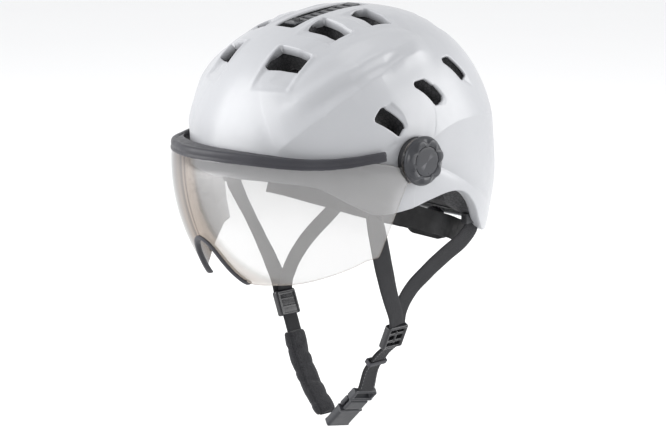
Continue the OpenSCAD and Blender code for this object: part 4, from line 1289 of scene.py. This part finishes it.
def make_brow_pad():
    half_high, half_deep, sunk = 9.2, 2.1, 3.1
    stations = np.linspace(-43, 43, 61)
    sections = []
    for i, az in enumerate(stations):
        k = (0.55, 0.8, 0.93, 1.0)[min(i, len(stations) - 1 - i, 3)]
        sections.append([ring_point(az, BROW_LIFT + half_high * k * y, sunk - half_deep * k * x)
                         for x, y in oval(26, 0.7, 0.6)])
    pad = sweep("brow_cushion", sections)
    swell(pad, 1.9, 1.2)

    def depth(co, _):
        local = co @ turn("x", RING_TILT).T
        az = np.degrees(np.arctan2(local[:, 0], RING_Y - local[:, 1]))
        high = local[:, 2] - BROW_LIFT
        seams = sum(np.exp(-((az - c) / 0.9) ** 2) for c in (-33, -22, -11, 0, 11, 22, 33))
        border = np.exp(-((np.abs(high) - 7.6) / 0.7) ** 2)
        return -1.1 * seams * (np.abs(high) < 7.6) - 0.7 * border

    return press_in(pad, depth)


brow = make_brow_pad()
dress(brow, "fleece", "helmet", "padding", "brow_pad")


def make_cavity_pad(name, phi0, phi1, out0, out1, thick, mirror):
    """A pad that lies on the inside of the foam, between two angles each way."""
    rows = 44
    middle, half = (out0 + out1) / 2, (out1 - out0) / 2
    sections = []
    for i in range(rows + 1):
        share = i / rows
        end = min(share, 1 - share) * rows
        k = math.sqrt(min(1, (end + 0.6) / 4.0))
        phi = phi0 + (phi1 - phi0) * share
        ring = []
        for x, y in oval(24, 0.6, 0.7):
            d = swing(np.array(phi), np.array(middle + half * (x * k) * 0.93))
            r = float(cavity_radius(d)) - thick / 2 - 0.2 + y * k * (thick / 2 - 0.7)
            ring.append(d * r * [mirror, 1, 1])
        sections.append(ring)
    pad = sweep(name, sections)
    swell(pad, 1.9, 0.9)

    def depth(co, no):
        d = co * [mirror, 1, 1] / np.linalg.norm(co, axis=1)[:, None]
        out = np.degrees(np.arcsin(np.clip(d[:, 0], -1, 1)))
        phi = np.degrees(np.arctan2(d[:, 2], -d[:, 1])) % 360
        r = np.linalg.norm(co, axis=1)
        edge = half - 1.0
        border = np.exp(-((np.abs(out - middle) - edge) / 0.45) ** 2)
        cross = sum(np.exp(-((phi - phi0 - (phi1 - phi0) * f) / 1.0) ** 2) for f in (0.25, 0.5, 0.75))
        inner = np.sum(no * co, 1) / r < 0
        return np.where(inner, -0.6 * border - 0.8 * cross * (np.abs(out - middle) < edge), 0)

    return press_in(pad, depth)


for name, s in SIDES:
    for kind, angles in (("crown", (56, 132, 3, 10, 6.5)), ("side", (100, 158, 47, 60, 6))):
        pad = make_cavity_pad(f"{kind}_cushion_{name}", *angles, s)
        dress(pad, "fleece", "helmet", "padding", f"{kind}_pad_{name}")

# ---------------- crown grille
GRILLE_MID = np.array([0, -1.5, 101.5])
GRILLE_TURN = turn("x", 9.5)
SLOT_PITCH = 8.4


def on_crown(p):
    """The grille's plane, tilted as the crown is."""
    return p @ GRILLE_TURN.T + GRILLE_MID


bars = [block((2.0, 67.0, 2.3), (x, 0, -0.15), 0.5) for x in (-6.2, 6.2)]
bars += [block((13.6, 4.2, 2.1), (0, y, -0.05), 0.5) for y in (-31.4, 31.4)]
for k in range(8):
    bars.append(block((12.6, 4.2, 2.1), (0, (k - 3.5) * SLOT_PITCH, -0.05), 0.5))
grille = fuse("crown_grille", bars, 0.5, on_crown, 1)
dress(grille, "satin", "helmet", "dark_plastic", "vent_frame")

# ---------------- CAD pieces that keep their shape
CARRIED = {
    "vent_slider": "dark_plastic", "grommet": "rubber", "visor_bush": "dark_plastic",
    "spring_washer": "metal", "insert_nut": "metal", "stud": "metal", "head_ring": "black",
    "housing_front": "black", "housing_back": "black", "housing_screws": "metal", "fit_dial": "satin",
    "dial_grip": "rubber", "pinion": "metal", "band": "black", "strap_anchor_front": "dark_plastic",
    "strap_anchor_rear": "dark_plastic", "buckle_magnet_base": "metal", "buckle_magnet_clip": "metal",
}
for stem, look in CARRIED.items():
    for node in (stem, stem + "_left", stem + "_right"):
        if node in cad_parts:
            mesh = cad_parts[node].data
            mesh.materials.clear()
            mesh.materials.append(MATERIALS[look])

# ---------------- stage and light
FLOOR_Z = -0.262
FLOOR_R = 9
bm = bmesh.new()
bmesh.ops.create_circle(bm, cap_ends=True, segments=96, radius=FLOOR_R)
floor_mesh = bpy.data.meshes.new("floor")
bm.to_mesh(floor_mesh)
bm.free()
floor = bpy.data.objects.new("floor", floor_mesh)
scene.collection.objects.link(floor)
floor.location.z = FLOOR_Z
floor_mesh.materials.append(MATERIALS["stage"])

world = bpy.data.worlds.new("studio")
world.use_nodes = True
world.node_tree.nodes["Background"].inputs["Color"].default_value = (0.985, 0.99, 1, 1)
world.node_tree.nodes["Background"].inputs["Strength"].default_value = 1.03
scene.world = world
scene.view_settings.view_transform = "Standard"

# Place and size in metres, power in watts
for name, at, size, power in (
    ("front_key", (-0.75, -1.35, 0.6), (1.6, 1.4), 34),
    ("rear_key", (1.05, 1.25, 0.45), (1.3, 1.1), 22),
    ("overhead", (0.1, 0.3, 1.4), (0.5, 0.5), 2),
):
    data = bpy.data.lights.new(name, "AREA")
    data.shape = "RECTANGLE"
    data.size, data.size_y = size
    data.energy = power
    aimed(name, data, at, (0, 0, 0))
